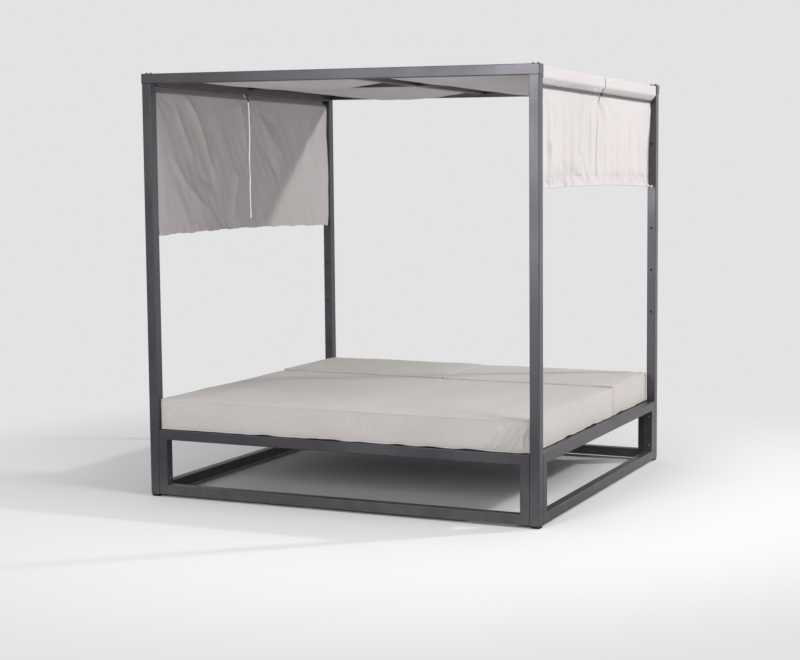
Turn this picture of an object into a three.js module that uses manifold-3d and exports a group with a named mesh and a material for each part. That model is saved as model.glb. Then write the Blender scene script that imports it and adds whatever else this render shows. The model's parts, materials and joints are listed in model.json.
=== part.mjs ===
// Outdoor daybed with a square-tube canopy frame, a sliding shade sheet and two reclining backrests.
// Units are millimetres. +X runs along the front, +Y to the back, +Z up.
// The origin is on the floor, under the middle of the frame.

import * as THREE from 'three';
import { mergeVertices } from 'three/addons/utils/BufferGeometryUtils.js';
import Module from 'manifold-3d';

const wasm = await Module();
wasm.setup();

// Frame sizes
const frameWidth = 2160;
const frameDepth = 1882;
const frameHeight = 2166;
const tubeSide = 50;
const tubeWall = 2.5;
const tubeRound = 3;

// Clearances
const seam = 0.3;
const softGap = 0.6;
const cutOverrun = 2;

// Feet
const footHeight = 12;
const footSide = 44;
const footEdge = 1;
const footPlugHeight = 28;
const footPlugGap = 0.5;

// Base frames and their bolts
const railTop = 348;
const baseEdgeRound = 2.5;
const baseBoltInset = 34;
const baseBoltRadius = 4;
const baseBoltHeadRadius = 6.5;
const baseBoltHeadHeight = 4.5;
const baseBoltReach = 13;

// Shares of a domed bolt head: where its rim ends and where its dome swells most
const boltRimShare = 0.25;
const boltDomeShare = 0.8;

// Rows of holes in the posts
const holePitch = 240;
const holeCount = 6;
const holeRadius = 5;
const leftHookHole = 2;
const rightHookHole = 3;
const guideRodHole = 5;

// Beam ends
const capThickness = 3;
const capEdgeRound = 1.2;
const capPlugDepth = 5;
const postPlateThickness = 6;
const beamBoltSpacing = 25;
const beamBoltRadius = 4;
const beamBoltHeadRadius = 6.5;
const beamBoltHeadHeight = 5;
const beamBoltTail = 6;
const boltHoleGap = 0.4;

// Roof bars
const roofBarDrop = 10;
const sideBarHeight = 50;
const sideBarWidth = 50;
const sideBarInset = 4;
const crossBarHeight = 25;
const crossBarWidth = 50;
const crossBarRound = 2;

// Guide rods and their hangers
const rodBelowBar = 36;
const rodRadius = 6;
const rodTipRadius = 4.6;
const rodTipLength = 8;
const hangerWidth = 8;
const hangerRing = 3.5;
const hangerNeck = 6;
const hangerFlangeLength = 26;
const hangerFlangeWidth = 26;
const hangerFlangeThickness = 3;

// Shade sheet
const sheetThickness = 2.4;
const sheetEndGap = 6;
const sheetCornerPull = 14;
const roofSag = 48;
const roofSagReach = 380;
const hemBelowHole = 5;
const hemBand = 54;
const hemArch = 14;
const slitMiddleWidth = 17;
const slitEndWidth = 9;
const foldDepth = 9;
const slitTopShare = 0.6;
const slitWideShare = 1.2;
const baySteps = 6;
const roundBarSteps = 2;
const edgeTurnSteps = 3;

// Shares of the drop of a curtain at which the sheet has its rows
const dropShares = [1, 0.96, 0.75, 0.5, 0.27, 0.09];

// Shares of the way from the end of the sheet to its mid line at which it has its columns
const columnShares = [0, 0.2, 0.42, 0.64, 0.84];

// Shares of the fold depth by which the columns of a curtain swing in or out
const foldShares = [0, 0.9, -0.5, 0.8, -0.3, 0.4, 0.2];

// Corner ties of the curtains
const tiePegRadius = 4.6;
const tiePegDepth = 14;
const tieCollarRadius = 8;
const tieCollarThickness = 3;
const tieCordRadius = 2.2;
const tieRingRadius = 10;
const tieRingThickness = 3;

// Slatted panels
const panelThickness = 25;
const panelEdge = 25;
const slatThickness = 10;
const panelSideGap = 2;
const panelCentreGap = 8;
const seatSlatCount = 9;
const backrestSlatCount = 5;
const slatGapShare = 0.36;
const seatSpineWidth = 30;

// Backrest hinges
const hingeBehindCrossbar = 40;
const hingeDrop = 9;
const hingeInset = 120;
const hingeEyeRound = 8;
const hingePinRadius = 4;
const hingePinHeadRadius = 6.5;
const hingePinHeadThickness = 3;
const hingePlateThickness = 6;
const hingePlateGap = 0.5;
const hingeArmHigh = 19;
const hingeArmLow = 36;
const pinHoleGap = 0.3;
const hingeFrontGap = 13;

// Props that hold the backrests up
const propDrop = 33;
const propEndRoom = 54;
const propExtra = 15;
const propLegWidth = 20;
const propLegThickness = 5;
const propLegInset = 45;
const propFootRadius = 6;
const propFootInset = 20;
const propPivotRadius = 5;
const propEyeRound = 12;
const propRibWidth = 30;
const propAngles = [22, 35, 48, 60];

// Rack channels and bearers
const channelWall = 3;
const channelFlange = 28;
const rackInset = 24;
const rackThickness = 6;
const rackDepth = 26;
const rackEndRoom = 20;
const crestSteps = 10;
const rackNotchRadius = 7.5;
const crossbarDepth = 40;
const bearerWidth = 40;

// Cushions
const cushionHeight = 150;
const cushionCrown = 12;
const cushionPull = 7;
const cushionBulge = 5;
const cushionSideInset = 52;
const cushionFrontInset = 20;
const cushionRearInset = 36;
const cushionCorner = 20;
const cushionGap = 3;
const cushionJointShare = 0.65675;
const cushionSteps = [14, 12, 4];
const cushionEdgePower = 7;
const cushionCrownPower = 4;

// Shares of the corner radius at which a cushion has its outermost rows
const cornerShares = [1, 0.7, 0];

// Places worked out from the sizes above
const halfWidth = frameWidth / 2;
const halfDepth = frameDepth / 2;
const postX = halfWidth - tubeSide / 2;
const postY = halfDepth - tubeSide / 2;
const postBase = footHeight + seam;
const beamBottom = frameHeight - tubeSide;
const postTop = beamBottom - seam;
const innerX = halfWidth - tubeSide;
const innerY = halfDepth - tubeSide;
const roofBarTop = frameHeight - roofBarDrop;
const sideBarOuter = halfWidth - sideBarInset;
const sideBarInner = sideBarOuter - sideBarWidth;
const sideBarBottom = roofBarTop - sideBarHeight;
const rodHeight = sideBarBottom - rodBelowBar;
const holeHeight = (index) => rodHeight - (guideRodHole - index) * holePitch;
const barEnd = innerY - seam;
const baseBoltHeights = [footHeight + tubeSide + baseBoltInset, railTop - tubeSide - baseBoltInset];
const panelTop = railTop - seam;
const panelBottom = panelTop - panelThickness;
const supportTop = panelBottom - seam;
const hingeZ = railTop - hingeDrop;
const hingeY = -halfDepth + frameDepth * cushionJointShare;
const crossbarBack = hingeY - hingeBehindCrossbar;
const crossbarFront = crossbarBack - crossbarDepth;
const propZ = hingeZ - propDrop;
const channelBottom = propZ - propFootRadius - seam - rackDepth;
const seatBearerBottom = railTop - tubeSide;
const panelOuterX = innerX - panelSideGap;
const panelInnerX = panelCentreGap / 2;
const propReach = innerY - panelSideGap - hingeY - propEndRoom;
const propArm = (propReach - propExtra) / 2;
const propLength = propArm + propExtra;
const propPivotY = hingeY + propArm;

// Materials
const paint = { color: 0x4b4a4f, roughness: 0.55, metalness: 0.35 };
const finishes = {
  frame: new THREE.MeshStandardMaterial(paint),
  platform: new THREE.MeshStandardMaterial({ ...paint, color: 0x3d3c40 }),
  plastic: new THREE.MeshStandardMaterial({ color: 0x19191b, roughness: 0.6, metalness: 0 }),
  steel: new THREE.MeshStandardMaterial({ color: 0x6f6f73, roughness: 0.35, metalness: 0.9 }),
  shade: new THREE.MeshStandardMaterial({ color: 0xe4dfdb, roughness: 0.9, metalness: 0 }),
  tie: new THREE.MeshStandardMaterial({ color: 0xe9e6e1, roughness: 0.8, metalness: 0 }),
  cushion: new THREE.MeshStandardMaterial({ color: 0xbdb6b1, roughness: 0.95, metalness: 0 }),
};

const part = new THREE.Group();

function add(name, geometry, material) {
  const mesh = new THREE.Mesh(geometry, material);
  mesh.name = name;
  part.add(mesh);
  return mesh;
}

// Solids: a closed geometry becomes a solid for cutting and joining, and comes back as a geometry
function toSolid(geometry) {
  const bare = geometry.clone();
  for (const name of Object.keys(bare.attributes)) {
    if (name !== 'position') bare.deleteAttribute(name);
  }
  const merged = mergeVertices(bare, 1e-4);
  return new wasm.Manifold(new wasm.Mesh({
    numProp: 3,
    vertProperties: new Float32Array(merged.attributes.position.array),
    triVerts: new Uint32Array(merged.index.array),
  }));
}

function toGeometry(solid) {
  const mesh = solid.getMesh();
  const geometry = new THREE.BufferGeometry();
  geometry.setAttribute('position', new THREE.BufferAttribute(new Float32Array(mesh.vertProperties), 3));
  geometry.setIndex(new THREE.BufferAttribute(new Uint32Array(mesh.triVerts), 1));
  return geometry;
}

function combine(base, joins, cuts = []) {
  let solid = toSolid(base);
  for (const piece of joins) solid = solid.add(toSolid(piece));
  for (const piece of cuts) solid = solid.subtract(toSolid(piece));
  return toGeometry(solid);
}

// Directions in which a flat outline is pushed out into a solid
const axes = {
  x: [[0, 1, 0], [0, 0, 1], [1, 0, 0]],
  y: [[1, 0, 0], [0, 0, 1], [0, -1, 0]],
  z: [[1, 0, 0], [0, 1, 0], [0, 0, 1]],
};

function extrude(shape, length, axis, bevel = 0, turns = 8) {
  const geometry = new THREE.ExtrudeGeometry(shape, {
    depth: length - 2 * bevel,
    curveSegments: turns,
    bevelEnabled: bevel > 0,
    bevelSize: bevel,
    bevelThickness: bevel,
    bevelOffset: -bevel,
    bevelSegments: 1,
  });
  geometry.translate(0, 0, -length / 2 + bevel);
  const [a, b, c] = axes[axis].map((v) => new THREE.Vector3(...v));
  geometry.applyMatrix4(new THREE.Matrix4().makeBasis(a, b, c));
  return geometry;
}

function rod(radius, length, axis, sides = 12) {
  const geometry = new THREE.CylinderGeometry(radius, radius, length, sides);
  if (axis === 'x') geometry.rotateZ(Math.PI / 2);
  if (axis === 'z') geometry.rotateX(Math.PI / 2);
  return geometry;
}

function block(x0, x1, y0, y1, z0, z1) {
  const geometry = new THREE.BoxGeometry(x1 - x0, y1 - y0, z1 - z0);
  return geometry.translate((x0 + x1) / 2, (y0 + y1) / 2, (z0 + z1) / 2);
}

function rectangle(width, height, round = 0, path = new THREE.Shape()) {
  const x = width / 2;
  const y = height / 2;
  if (round <= 0) {
    path.moveTo(-x, -y).lineTo(x, -y).lineTo(x, y).lineTo(-x, y).closePath();
    return path;
  }
  const turn = Math.PI / 2;
  path.moveTo(-x + round, -y);
  path.absarc(x - round, -y + round, round, -turn, 0);
  path.absarc(x - round, y - round, round, 0, turn);
  path.absarc(-x + round, y - round, round, turn, 2 * turn);
  path.absarc(-x + round, -y + round, round, 2 * turn, 3 * turn);
  path.closePath();
  return path;
}

// Rectangular tube section with rounded outer corners
function tubeSection(width, height, wall, round) {
  const shape = rectangle(width, height, round);
  shape.holes.push(rectangle(width - 2 * wall, height - 2 * wall, 0, new THREE.Path()));
  return shape;
}

function tube(width, height, length, axis, round = tubeRound) {
  return extrude(tubeSection(width, height, tubeWall, round), length, axis, 0, 3);
}

// Domed bolt with its axis up and the underside of its head at zero
function domedBolt(radius, headRadius, headHeight, length) {
  const dome = new THREE.Path();
  dome.moveTo(0, -length);
  dome.lineTo(radius, -length);
  dome.lineTo(radius, 0);
  dome.lineTo(headRadius, 0);
  dome.lineTo(headRadius, headHeight * boltRimShare);
  dome.quadraticCurveTo(headRadius * boltDomeShare, headHeight, 0, headHeight);
  return new THREE.LatheGeometry(dome.getPoints(3), 10).rotateX(Math.PI / 2);
}

// Plates with a round end and a hole, standing in the YZ plane: the eyes of hinges and pivots
function eyePlate(outline, round, hole) {
  const shape = new THREE.Shape();
  if (outline === 'up') {
    const rise = panelBottom - propZ + cutOverrun;
    shape.moveTo(round, 0).lineTo(round, rise).lineTo(-round, rise).lineTo(-round, 0);
    shape.absarc(0, 0, round, Math.PI, 2 * Math.PI);
  } else if (outline === 'back') {
    const reach = hingeFrontGap + cutOverrun;
    shape.moveTo(0, -round).lineTo(reach, -round).lineTo(reach, 0).lineTo(round, 0);
    shape.absarc(0, 0, round, 0, 3 * Math.PI / 2);
  } else {
    const reach = hingeBehindCrossbar + cutOverrun;
    shape.moveTo(-reach, -hingeArmHigh).lineTo(-reach, -hingeArmLow);
    shape.absarc(0, 0, round, -Math.PI / 3, 5 * Math.PI / 6);
  }
  const eye = new THREE.Path();
  eye.absarc(0, 0, hole, 0, 2 * Math.PI);
  shape.holes.push(eye);
  return extrude(shape, hingePlateThickness, 'x', 0, 5);
}

// Posts: hollow tubes with a threaded plate at the top, rows of holes, and holes for the base bolts
function post(sideX, sideY) {
  const length = postTop - postBase;
  const cuts = [];
  const plate = block(
    -tubeSide / 2 + tubeWall / 2, tubeSide / 2 - tubeWall / 2,
    -tubeSide / 2 + tubeWall / 2, tubeSide / 2 - tubeWall / 2,
    length / 2 - postPlateThickness, length / 2,
  );
  for (const side of [-1, 1]) {
    const hole = rod(beamBoltRadius + boltHoleGap, postPlateThickness + 2 * cutOverrun, 'z', 8);
    cuts.push(hole.translate(side * beamBoltSpacing / 2, 0, length / 2 - postPlateThickness / 2));
  }
  const middle = (postTop + postBase) / 2;
  const reach = tubeWall + 2 * cutOverrun;
  const wallCentre = tubeSide / 2 - tubeWall / 2;
  for (let index = 0; index < holeCount; index += 1) {
    const hole = rod(holeRadius, reach, 'y', 10);
    cuts.push(hole.translate(0, -sideY * wallCentre, holeHeight(index) - middle));
  }
  for (const height of baseBoltHeights) {
    const across = rod(baseBoltRadius + boltHoleGap, reach, 'x', 8);
    const along = rod(baseBoltRadius + boltHoleGap, reach, 'y', 8);
    cuts.push(across.translate(-sideX * wallCentre, 0, height - middle));
    cuts.push(along.translate(0, -sideY * wallCentre, height - middle));
  }
  const geometry = combine(tube(tubeSide, tubeSide, length, 'z'), [plate], cuts);
  return geometry.translate(0, 0, middle);
}

// Feet: a glide under the post and a plug that sits in the tube
function foot() {
  const glide = extrude(rectangle(footSide, footSide, tubeRound), footHeight, 'z', footEdge, 2);
  glide.translate(0, 0, footHeight / 2);
  const plugSide = tubeSide - 2 * tubeWall - 2 * footPlugGap;
  const plug = new THREE.BoxGeometry(plugSide, plugSide, footPlugHeight + cutOverrun);
  plug.translate(0, 0, footHeight + (footPlugHeight - cutOverrun) / 2);
  return combine(glide, [plug]);
}

// Base frames: a welded ring of tube, with two bolts at each end that pass into the posts
function baseFrame(length, axis) {
  const height = railTop - footHeight;
  const ring = rectangle(length, height);
  ring.holes.push(rectangle(length - 2 * tubeSide, height - 2 * tubeSide, 0, new THREE.Path()));
  const frame = extrude(ring, tubeSide, 'y', baseEdgeRound);
  const middle = (railTop + footHeight) / 2;
  const joins = [];
  for (const side of [-1, 1]) {
    for (const bolt of baseBoltHeights) {
      const shank = tubeSide + seam + baseBoltReach;
      const piece = domedBolt(baseBoltRadius, baseBoltHeadRadius, baseBoltHeadHeight, shank);
      piece.rotateY(-side * Math.PI / 2);
      joins.push(piece.translate(side * (length / 2 - tubeSide), 0, bolt - middle));
    }
  }
  const geometry = combine(frame, joins).translate(0, 0, middle);
  if (axis === 'y') geometry.rotateZ(Math.PI / 2);
  return geometry;
}

// Beams: full-width tubes that lie on the posts, drilled for the beam bolts
function beam() {
  const cuts = [];
  for (const side of [-1, 1]) {
    for (const step of [-1, 1]) {
      const hole = rod(beamBoltRadius + boltHoleGap, tubeSide + 2 * cutOverrun, 'z', 8);
      cuts.push(hole.translate(side * postX + step * beamBoltSpacing / 2, 0, 0));
    }
  }
  const geometry = combine(tube(tubeSide, tubeSide, frameWidth, 'x'), [], cuts);
  return geometry.translate(0, 0, frameHeight - tubeSide / 2);
}

// End caps of the beams: a softly edged plate with a shallow plug
function endCap(side) {
  const plate = extrude(rectangle(tubeSide, tubeSide, tubeRound), capThickness, 'x', capEdgeRound, 3);
  plate.translate(side * (halfWidth + seam + capThickness / 2), 0, 0);
  const plugSide = tubeSide - 2 * tubeWall - 2 * footPlugGap;
  const plugStart = side * (halfWidth - capPlugDepth);
  const plugEnd = side * (halfWidth + seam + capThickness / 2);
  const half = plugSide / 2;
  const plug = block(Math.min(plugStart, plugEnd), Math.max(plugStart, plugEnd), -half, half, -half, half);
  return combine(plate, [plug]).translate(0, 0, frameHeight - tubeSide / 2);
}

// Guide rods: a round bar with thinner tips that sit in the top holes of the posts
function guideRod() {
  const half = barEnd;
  const tip = half + rodTipLength;
  const points = [
    [0, -tip], [rodTipRadius, -tip], [rodTipRadius, -half], [rodRadius, -half],
    [rodRadius, half], [rodTipRadius, half], [rodTipRadius, tip], [0, tip],
  ].map(([r, y]) => new THREE.Vector2(r, y));
  return new THREE.LatheGeometry(points, 12);
}

// Hangers: a ring round the guide rod, a neck through the slit, and a flange under the side bar
function hanger() {
  const inner = rodRadius + seam;
  const outer = inner + hangerRing;
  const rise = sideBarBottom - seam - rodHeight;
  const ring = new THREE.Shape();
  ring.absarc(0, 0, outer, 0, 2 * Math.PI);
  const body = extrude(ring, hangerWidth, 'y');
  const neckStart = (inner + outer) / 2;
  const neck = block(-hangerNeck / 2, hangerNeck / 2, -hangerWidth / 2, hangerWidth / 2, neckStart, rise);
  const flange = block(
    -hangerFlangeWidth / 2, hangerFlangeWidth / 2,
    -hangerFlangeLength / 2, hangerFlangeLength / 2,
    rise - hangerFlangeThickness, rise,
  );
  return combine(body, [neck, flange], [rod(inner, hangerWidth + 2 * cutOverrun, 'y')]);
}

// Shade sheet: stations run from the left hem up, over the roof and down to the right hem
function curtainStations(side, hookHole) {
  const centreX = halfWidth - tubeSide / 2;
  const offset = softGap + sheetThickness / 2;
  const wrap = rodRadius + offset;
  const hangX = centreX - wrap;
  const hemZ = holeHeight(hookHole) - hemBelowHole;
  const stations = [];
  for (const share of dropShares) {
    stations.push({ x: hangX, z: rodHeight - (rodHeight - hemZ) * share, drop: share });
  }
  stations[1].z = hemZ + hemBand;
  const outerX = sideBarOuter + offset;
  const bend = { x: outerX, z: sideBarBottom };
  const away = Math.atan2(bend.z - rodHeight, bend.x - centreX);
  const spread = Math.acos(wrap / Math.hypot(bend.z - rodHeight, bend.x - centreX));
  const leave = away + spread;
  for (let step = 0; step <= roundBarSteps; step += 1) {
    const angle = Math.PI + (leave - Math.PI) * step / roundBarSteps;
    stations.push({ x: centreX + wrap * Math.cos(angle), z: rodHeight + wrap * Math.sin(angle), drop: 0 });
  }
  stations.push({ x: (stations.at(-1).x + bend.x) / 2, z: (stations.at(-1).z + bend.z) / 2, drop: 0 });
  stations.push({ ...bend, drop: 0 });
  const turnRadius = tubeRound + offset;
  const turnX = sideBarOuter - tubeRound;
  const turnZ = roofBarTop - tubeRound;
  for (let step = 0; step <= edgeTurnSteps; step += 1) {
    const angle = Math.PI / 2 * step / edgeTurnSteps;
    const x = turnX + turnRadius * Math.cos(angle);
    stations.push({ x, z: turnZ + turnRadius * Math.sin(angle), drop: 0 });
  }
  for (const station of stations) {
    station.x *= side;
    station.sag = 0;
    station.curtain = side;
    station.slit = station.drop <= stations[1].drop && station.z < turnZ + turnRadius * slitTopShare;
  }
  return stations;
}

function bayStations(fromX, toX) {
  const z = roofBarTop + softGap + sheetThickness / 2;
  const stations = [];
  for (let step = 0; step <= baySteps; step += 1) {
    const share = step / baySteps;
    const sag = 1 - (2 * share - 1) ** 2;
    stations.push({ x: fromX + (toX - fromX) * share, z, drop: 0, sag, curtain: 0, slit: false });
  }
  return stations;
}

function sheetColumns(station) {
  const pull = sheetEndGap + sheetCornerPull * station.drop;
  const reach = innerY - pull;
  const lens = Math.sin(Math.PI * Math.min(1, station.drop * slitWideShare));
  const slitHalf = (slitEndWidth + (slitMiddleWidth - slitEndWidth) * lens) / 2;
  const barHalf = crossBarWidth / 2 + tubeRound;
  const outer = columnShares.map((share) => reach - (reach - barHalf) * share);
  const half = [...outer, barHalf, slitHalf];
  return [...half.map((y) => -y), ...half.toReversed()];
}

function sheetPoint(station, y, column, columnCount) {
  const barHalf = crossBarWidth / 2 + tubeRound;
  const fromBar = Math.max(0, Math.abs(y) - barHalf) / roofSagReach;
  const reach = Math.min(1, fromBar);
  const bay = reach * reach * (3 - 2 * reach);
  const along = column / (columnCount - 1);
  const fold = foldShares[Math.min(column, columnCount - 1 - column)];
  const wave = fold * foldDepth * Math.min(1, 2 * station.drop);
  const inwards = station.curtain === 0 ? 0 : -station.curtain * (foldDepth * station.drop + wave);
  const hem = Math.sin(Math.PI * along) * hemArch * Math.max(0, station.drop) ** 3;
  return new THREE.Vector3(station.x + inwards, y, station.z - roofSag * station.sag * bay + hem);
}

function shadeSheet() {
  const left = curtainStations(-1, leftHookHole);
  const right = curtainStations(1, rightHookHole).toReversed();
  const barEdge = crossBarWidth / 2;
  const stations = [
    ...left,
    ...bayStations(-sideBarInner, -barEdge),
    ...bayStations(barEdge, sideBarInner),
    ...right,
  ];
  const grid = stations.map((station) => {
    const columns = sheetColumns(station);
    return columns.map((y, index) => sheetPoint(station, y, index, columns.length));
  });
  const rows = grid.length;
  const count = grid[0].length;
  const middle = count / 2 - 1;
  const positions = [];
  const normalAt = (row, column) => {
    const up = grid[Math.min(rows - 1, row + 1)][column];
    const down = grid[Math.max(0, row - 1)][column];
    const back = grid[row][Math.min(count - 1, column + 1)];
    const front = grid[row][Math.max(0, column - 1)];
    const along = up.clone().sub(down).normalize();
    const across = back.clone().sub(front).normalize();
    return along.cross(across).normalize();
  };
  for (const face of [1, -1]) {
    for (let row = 0; row < rows; row += 1) {
      for (let column = 0; column < count; column += 1) {
        const shift = normalAt(row, column).multiplyScalar(face * sheetThickness / 2);
        const point = grid[row][column].clone().add(shift);
        positions.push(point.x, point.y, point.z);
      }
    }
  }
  const at = (row, column, face) => face * rows * count + row * count + column;
  const filled = (row, column) => {
    if (row < 0 || column < 0 || row >= rows - 1 || column >= count - 1) return false;
    return !(column === middle && stations[row].slit && stations[row + 1].slit);
  };
  const triangles = [];
  const quad = (a, b, c, d) => triangles.push(a, b, c, a, c, d);
  for (let row = 0; row < rows - 1; row += 1) {
    for (let column = 0; column < count - 1; column += 1) {
      if (!filled(row, column)) continue;
      const next = row + 1;
      const beside = column + 1;
      quad(at(row, column, 0), at(next, column, 0), at(next, beside, 0), at(row, beside, 0));
      quad(at(row, column, 1), at(row, beside, 1), at(next, beside, 1), at(next, column, 1));
      const wall = (r0, c0, r1, c1) => quad(at(r0, c0, 0), at(r0, c0, 1), at(r1, c1, 1), at(r1, c1, 0));
      if (!filled(row, column - 1)) wall(row, column, next, column);
      if (!filled(row, column + 1)) wall(next, beside, row, beside);
      if (!filled(row - 1, column)) wall(row, beside, row, column);
      if (!filled(row + 1, column)) wall(next, column, next, beside);
    }
  }
  const geometry = new THREE.BufferGeometry();
  geometry.setAttribute('position', new THREE.Float32BufferAttribute(positions, 3));
  geometry.setIndex(triangles);
  return geometry;
}

// Corner ties: a peg in the post, a short cord and a ring stitched to the corner of the curtain
function cornerTie(sideX, sideY, hookHole) {
  const z = holeHeight(hookHole);
  const face = innerY - seam;
  const peg = rod(tiePegRadius, tiePegDepth, 'y', 12);
  peg.translate(0, face + tiePegDepth / 2 - tieCollarThickness / 2, 0);
  const collar = rod(tieCollarRadius, tieCollarThickness, 'y');
  collar.translate(0, face - tieCollarThickness / 2, 0);
  const sheetFace = rodRadius + foldDepth;
  const ringY = innerY - sheetEndGap - sheetCornerPull - tieRingRadius;
  const ring = rod(tieRingRadius, tieRingThickness, 'x');
  ring.translate(-sheetFace + tieRingThickness / 2, ringY, tieRingRadius / 2);
  const from = new THREE.Vector3(0, face - tieCollarThickness / 2, 0);
  const to = new THREE.Vector3(-sheetFace + tieRingThickness / 2, ringY, tieRingRadius / 2);
  const path = new THREE.LineCurve3(from, to);
  const section = new THREE.Shape();
  section.absarc(0, 0, tieCordRadius, 0, 2 * Math.PI);
  const cord = new THREE.ExtrudeGeometry(section, { steps: 1, curveSegments: 8, extrudePath: path });
  const solid = combine(collar, [peg, ring, cord]);
  solid.scale(sideX, sideY, 1);
  if (sideX * sideY < 0) turnInsideOut(solid);
  return solid.translate(sideX * postX, 0, z);
}

function turnInsideOut(geometry) {
  const index = geometry.index.array;
  for (let i = 0; i < index.length; i += 3) [index[i + 1], index[i + 2]] = [index[i + 2], index[i + 1]];
  return geometry;
}

// Slatted panels: a tube border, slats across it and, where asked, a spine and a rib
function slattedPanel(x0, x1, y0, y1, slats, spine, ribY) {
  const middleX = (x0 + x1) / 2;
  const bays = spine > 0
    ? [[x0 + panelEdge, middleX - spine / 2], [middleX + spine / 2, x1 - panelEdge]]
    : [[x0 + panelEdge, x1 - panelEdge]];
  const inner = y1 - y0 - 2 * panelEdge;
  const gap = inner * slatGapShare / (slats + 1);
  const slat = inner * (1 - slatGapShare) / slats;
  const low = panelBottom - cutOverrun;
  const cuts = [];
  for (const [left, right] of bays) {
    for (let index = 0; index <= slats; index += 1) {
      const front = y0 + panelEdge + index * (gap + slat);
      cuts.push(block(left, right, front, front + gap, low, panelTop + cutOverrun));
    }
    cuts.push(block(left, right, y0 + panelEdge, y1 - panelEdge, low, panelTop - slatThickness));
  }
  const ribs = [];
  if (ribY !== undefined) {
    const half = propRibWidth / 2;
    const ribTop = panelTop - slatThickness / 2;
    ribs.push(block(x0 + panelEdge / 2, x1 - panelEdge / 2, ribY - half, ribY + half, panelBottom, ribTop));
  }
  return { border: block(x0, x1, y0, y1, panelBottom, panelTop), cuts, ribs };
}

function seatPlatform() {
  const { border, cuts } = slattedPanel(
    -panelOuterX, panelOuterX, -innerY + panelSideGap, crossbarBack, seatSlatCount, seatSpineWidth,
  );
  return combine(border, [], cuts);
}

// Places of the plates along the hinge line of one backrest
function hingePlaces(side) {
  const outer = panelOuterX - hingeInset;
  const inner = panelInnerX + hingeInset;
  return [side * inner, side * outer];
}

function propLegPlaces(side) {
  const outer = panelOuterX - propLegInset;
  const inner = panelInnerX + propLegInset;
  return [{ x: side * inner, out: -side }, { x: side * outer, out: side }];
}

function backrestFrame(side) {
  const x0 = side < 0 ? -panelOuterX : panelInnerX;
  const x1 = side < 0 ? -panelInnerX : panelOuterX;
  const y0 = hingeY + hingeFrontGap;
  const y1 = innerY - panelSideGap;
  const { border, cuts, ribs } = slattedPanel(x0, x1, y0, y1, backrestSlatCount, 0, propPivotY);
  const joins = [...ribs];
  for (const x of hingePlaces(side)) {
    const eye = eyePlate('back', hingeEyeRound, hingePinRadius + pinHoleGap);
    joins.push(eye.translate(x, hingeY, hingeZ));
  }
  for (const leg of propLegPlaces(side)) {
    const eye = eyePlate('up', propEyeRound, propPivotRadius + pinHoleGap);
    const offset = propLegThickness / 2 + hingePlateGap + hingePlateThickness / 2;
    joins.push(eye.translate(leg.x + leg.out * offset, propPivotY, propZ));
  }
  return combine(combine(border, [], cuts), joins);
}

// Hinge crossbar: a box section between the channels with one bracket plate at each hinge
function hingeCrossbar() {
  const end = innerX - seam - channelWall - seam;
  const bottom = channelBottom + channelWall + seam;
  const bar = block(-end, end, crossbarFront, crossbarBack, bottom, supportTop);
  const joins = [];
  for (const side of [-1, 1]) {
    for (const x of hingePlaces(side)) {
      const eye = eyePlate('front', hingeEyeRound, hingePinRadius + pinHoleGap);
      joins.push(eye.translate(x - side * (hingePlateThickness + hingePlateGap), hingeY, hingeZ));
    }
  }
  return combine(bar, joins);
}

// Hinge pins: a pin with a flat head at each end
function hingePin() {
  const span = 2 * hingePlateThickness + hingePlateGap + 2 * hingePlateGap;
  const end = span / 2;
  const head = end + hingePinHeadThickness;
  const points = [
    [0, -head], [hingePinHeadRadius, -head], [hingePinHeadRadius, -end], [hingePinRadius, -end],
    [hingePinRadius, end], [hingePinHeadRadius, end], [hingePinHeadRadius, head], [0, head],
  ].map(([r, y]) => new THREE.Vector2(r, y));
  return new THREE.LatheGeometry(points, 10).rotateZ(Math.PI / 2);
}

// Props: two flat legs, a foot rod that runs over both racks and a stub pivot at the top of each leg
function prop(side) {
  const legs = propLegPlaces(side);
  const x0 = side < 0 ? -panelOuterX + propFootInset : panelInnerX + propFootInset;
  const x1 = side < 0 ? -panelInnerX - propFootInset : panelOuterX - propFootInset;
  const foot = rod(propFootRadius, x1 - x0, 'x');
  foot.translate((x0 + x1) / 2, propPivotY + propLength, propZ);
  const joins = [];
  for (const leg of legs) {
    const half = propLegWidth / 2;
    const shape = new THREE.Shape();
    shape.absarc(0, 0, half, Math.PI / 2, 3 * Math.PI / 2);
    shape.absarc(propLength, 0, half, -Math.PI / 2, Math.PI / 2);
    const plate = extrude(shape, propLegThickness, 'x', 0, 4);
    joins.push(plate.translate(leg.x, propPivotY, propZ));
    const reach = propLegThickness / 2 + 2 * hingePlateGap + hingePlateThickness + cutOverrun;
    const stub = rod(propPivotRadius, reach, 'x');
    joins.push(stub.translate(leg.x + leg.out * reach / 2, propPivotY, propZ));
  }
  return combine(foot, joins);
}

// Where the foot rod of a prop is when the backrest stands at an angle
function footPlace(degrees) {
  const angle = THREE.MathUtils.degToRad(degrees);
  const y = hingeY + propReach * Math.cos(angle) + propDrop * Math.sin(angle);
  const z = hingeZ - propDrop * Math.cos(angle) - propExtra * Math.sin(angle);
  return { y, z };
}

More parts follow.
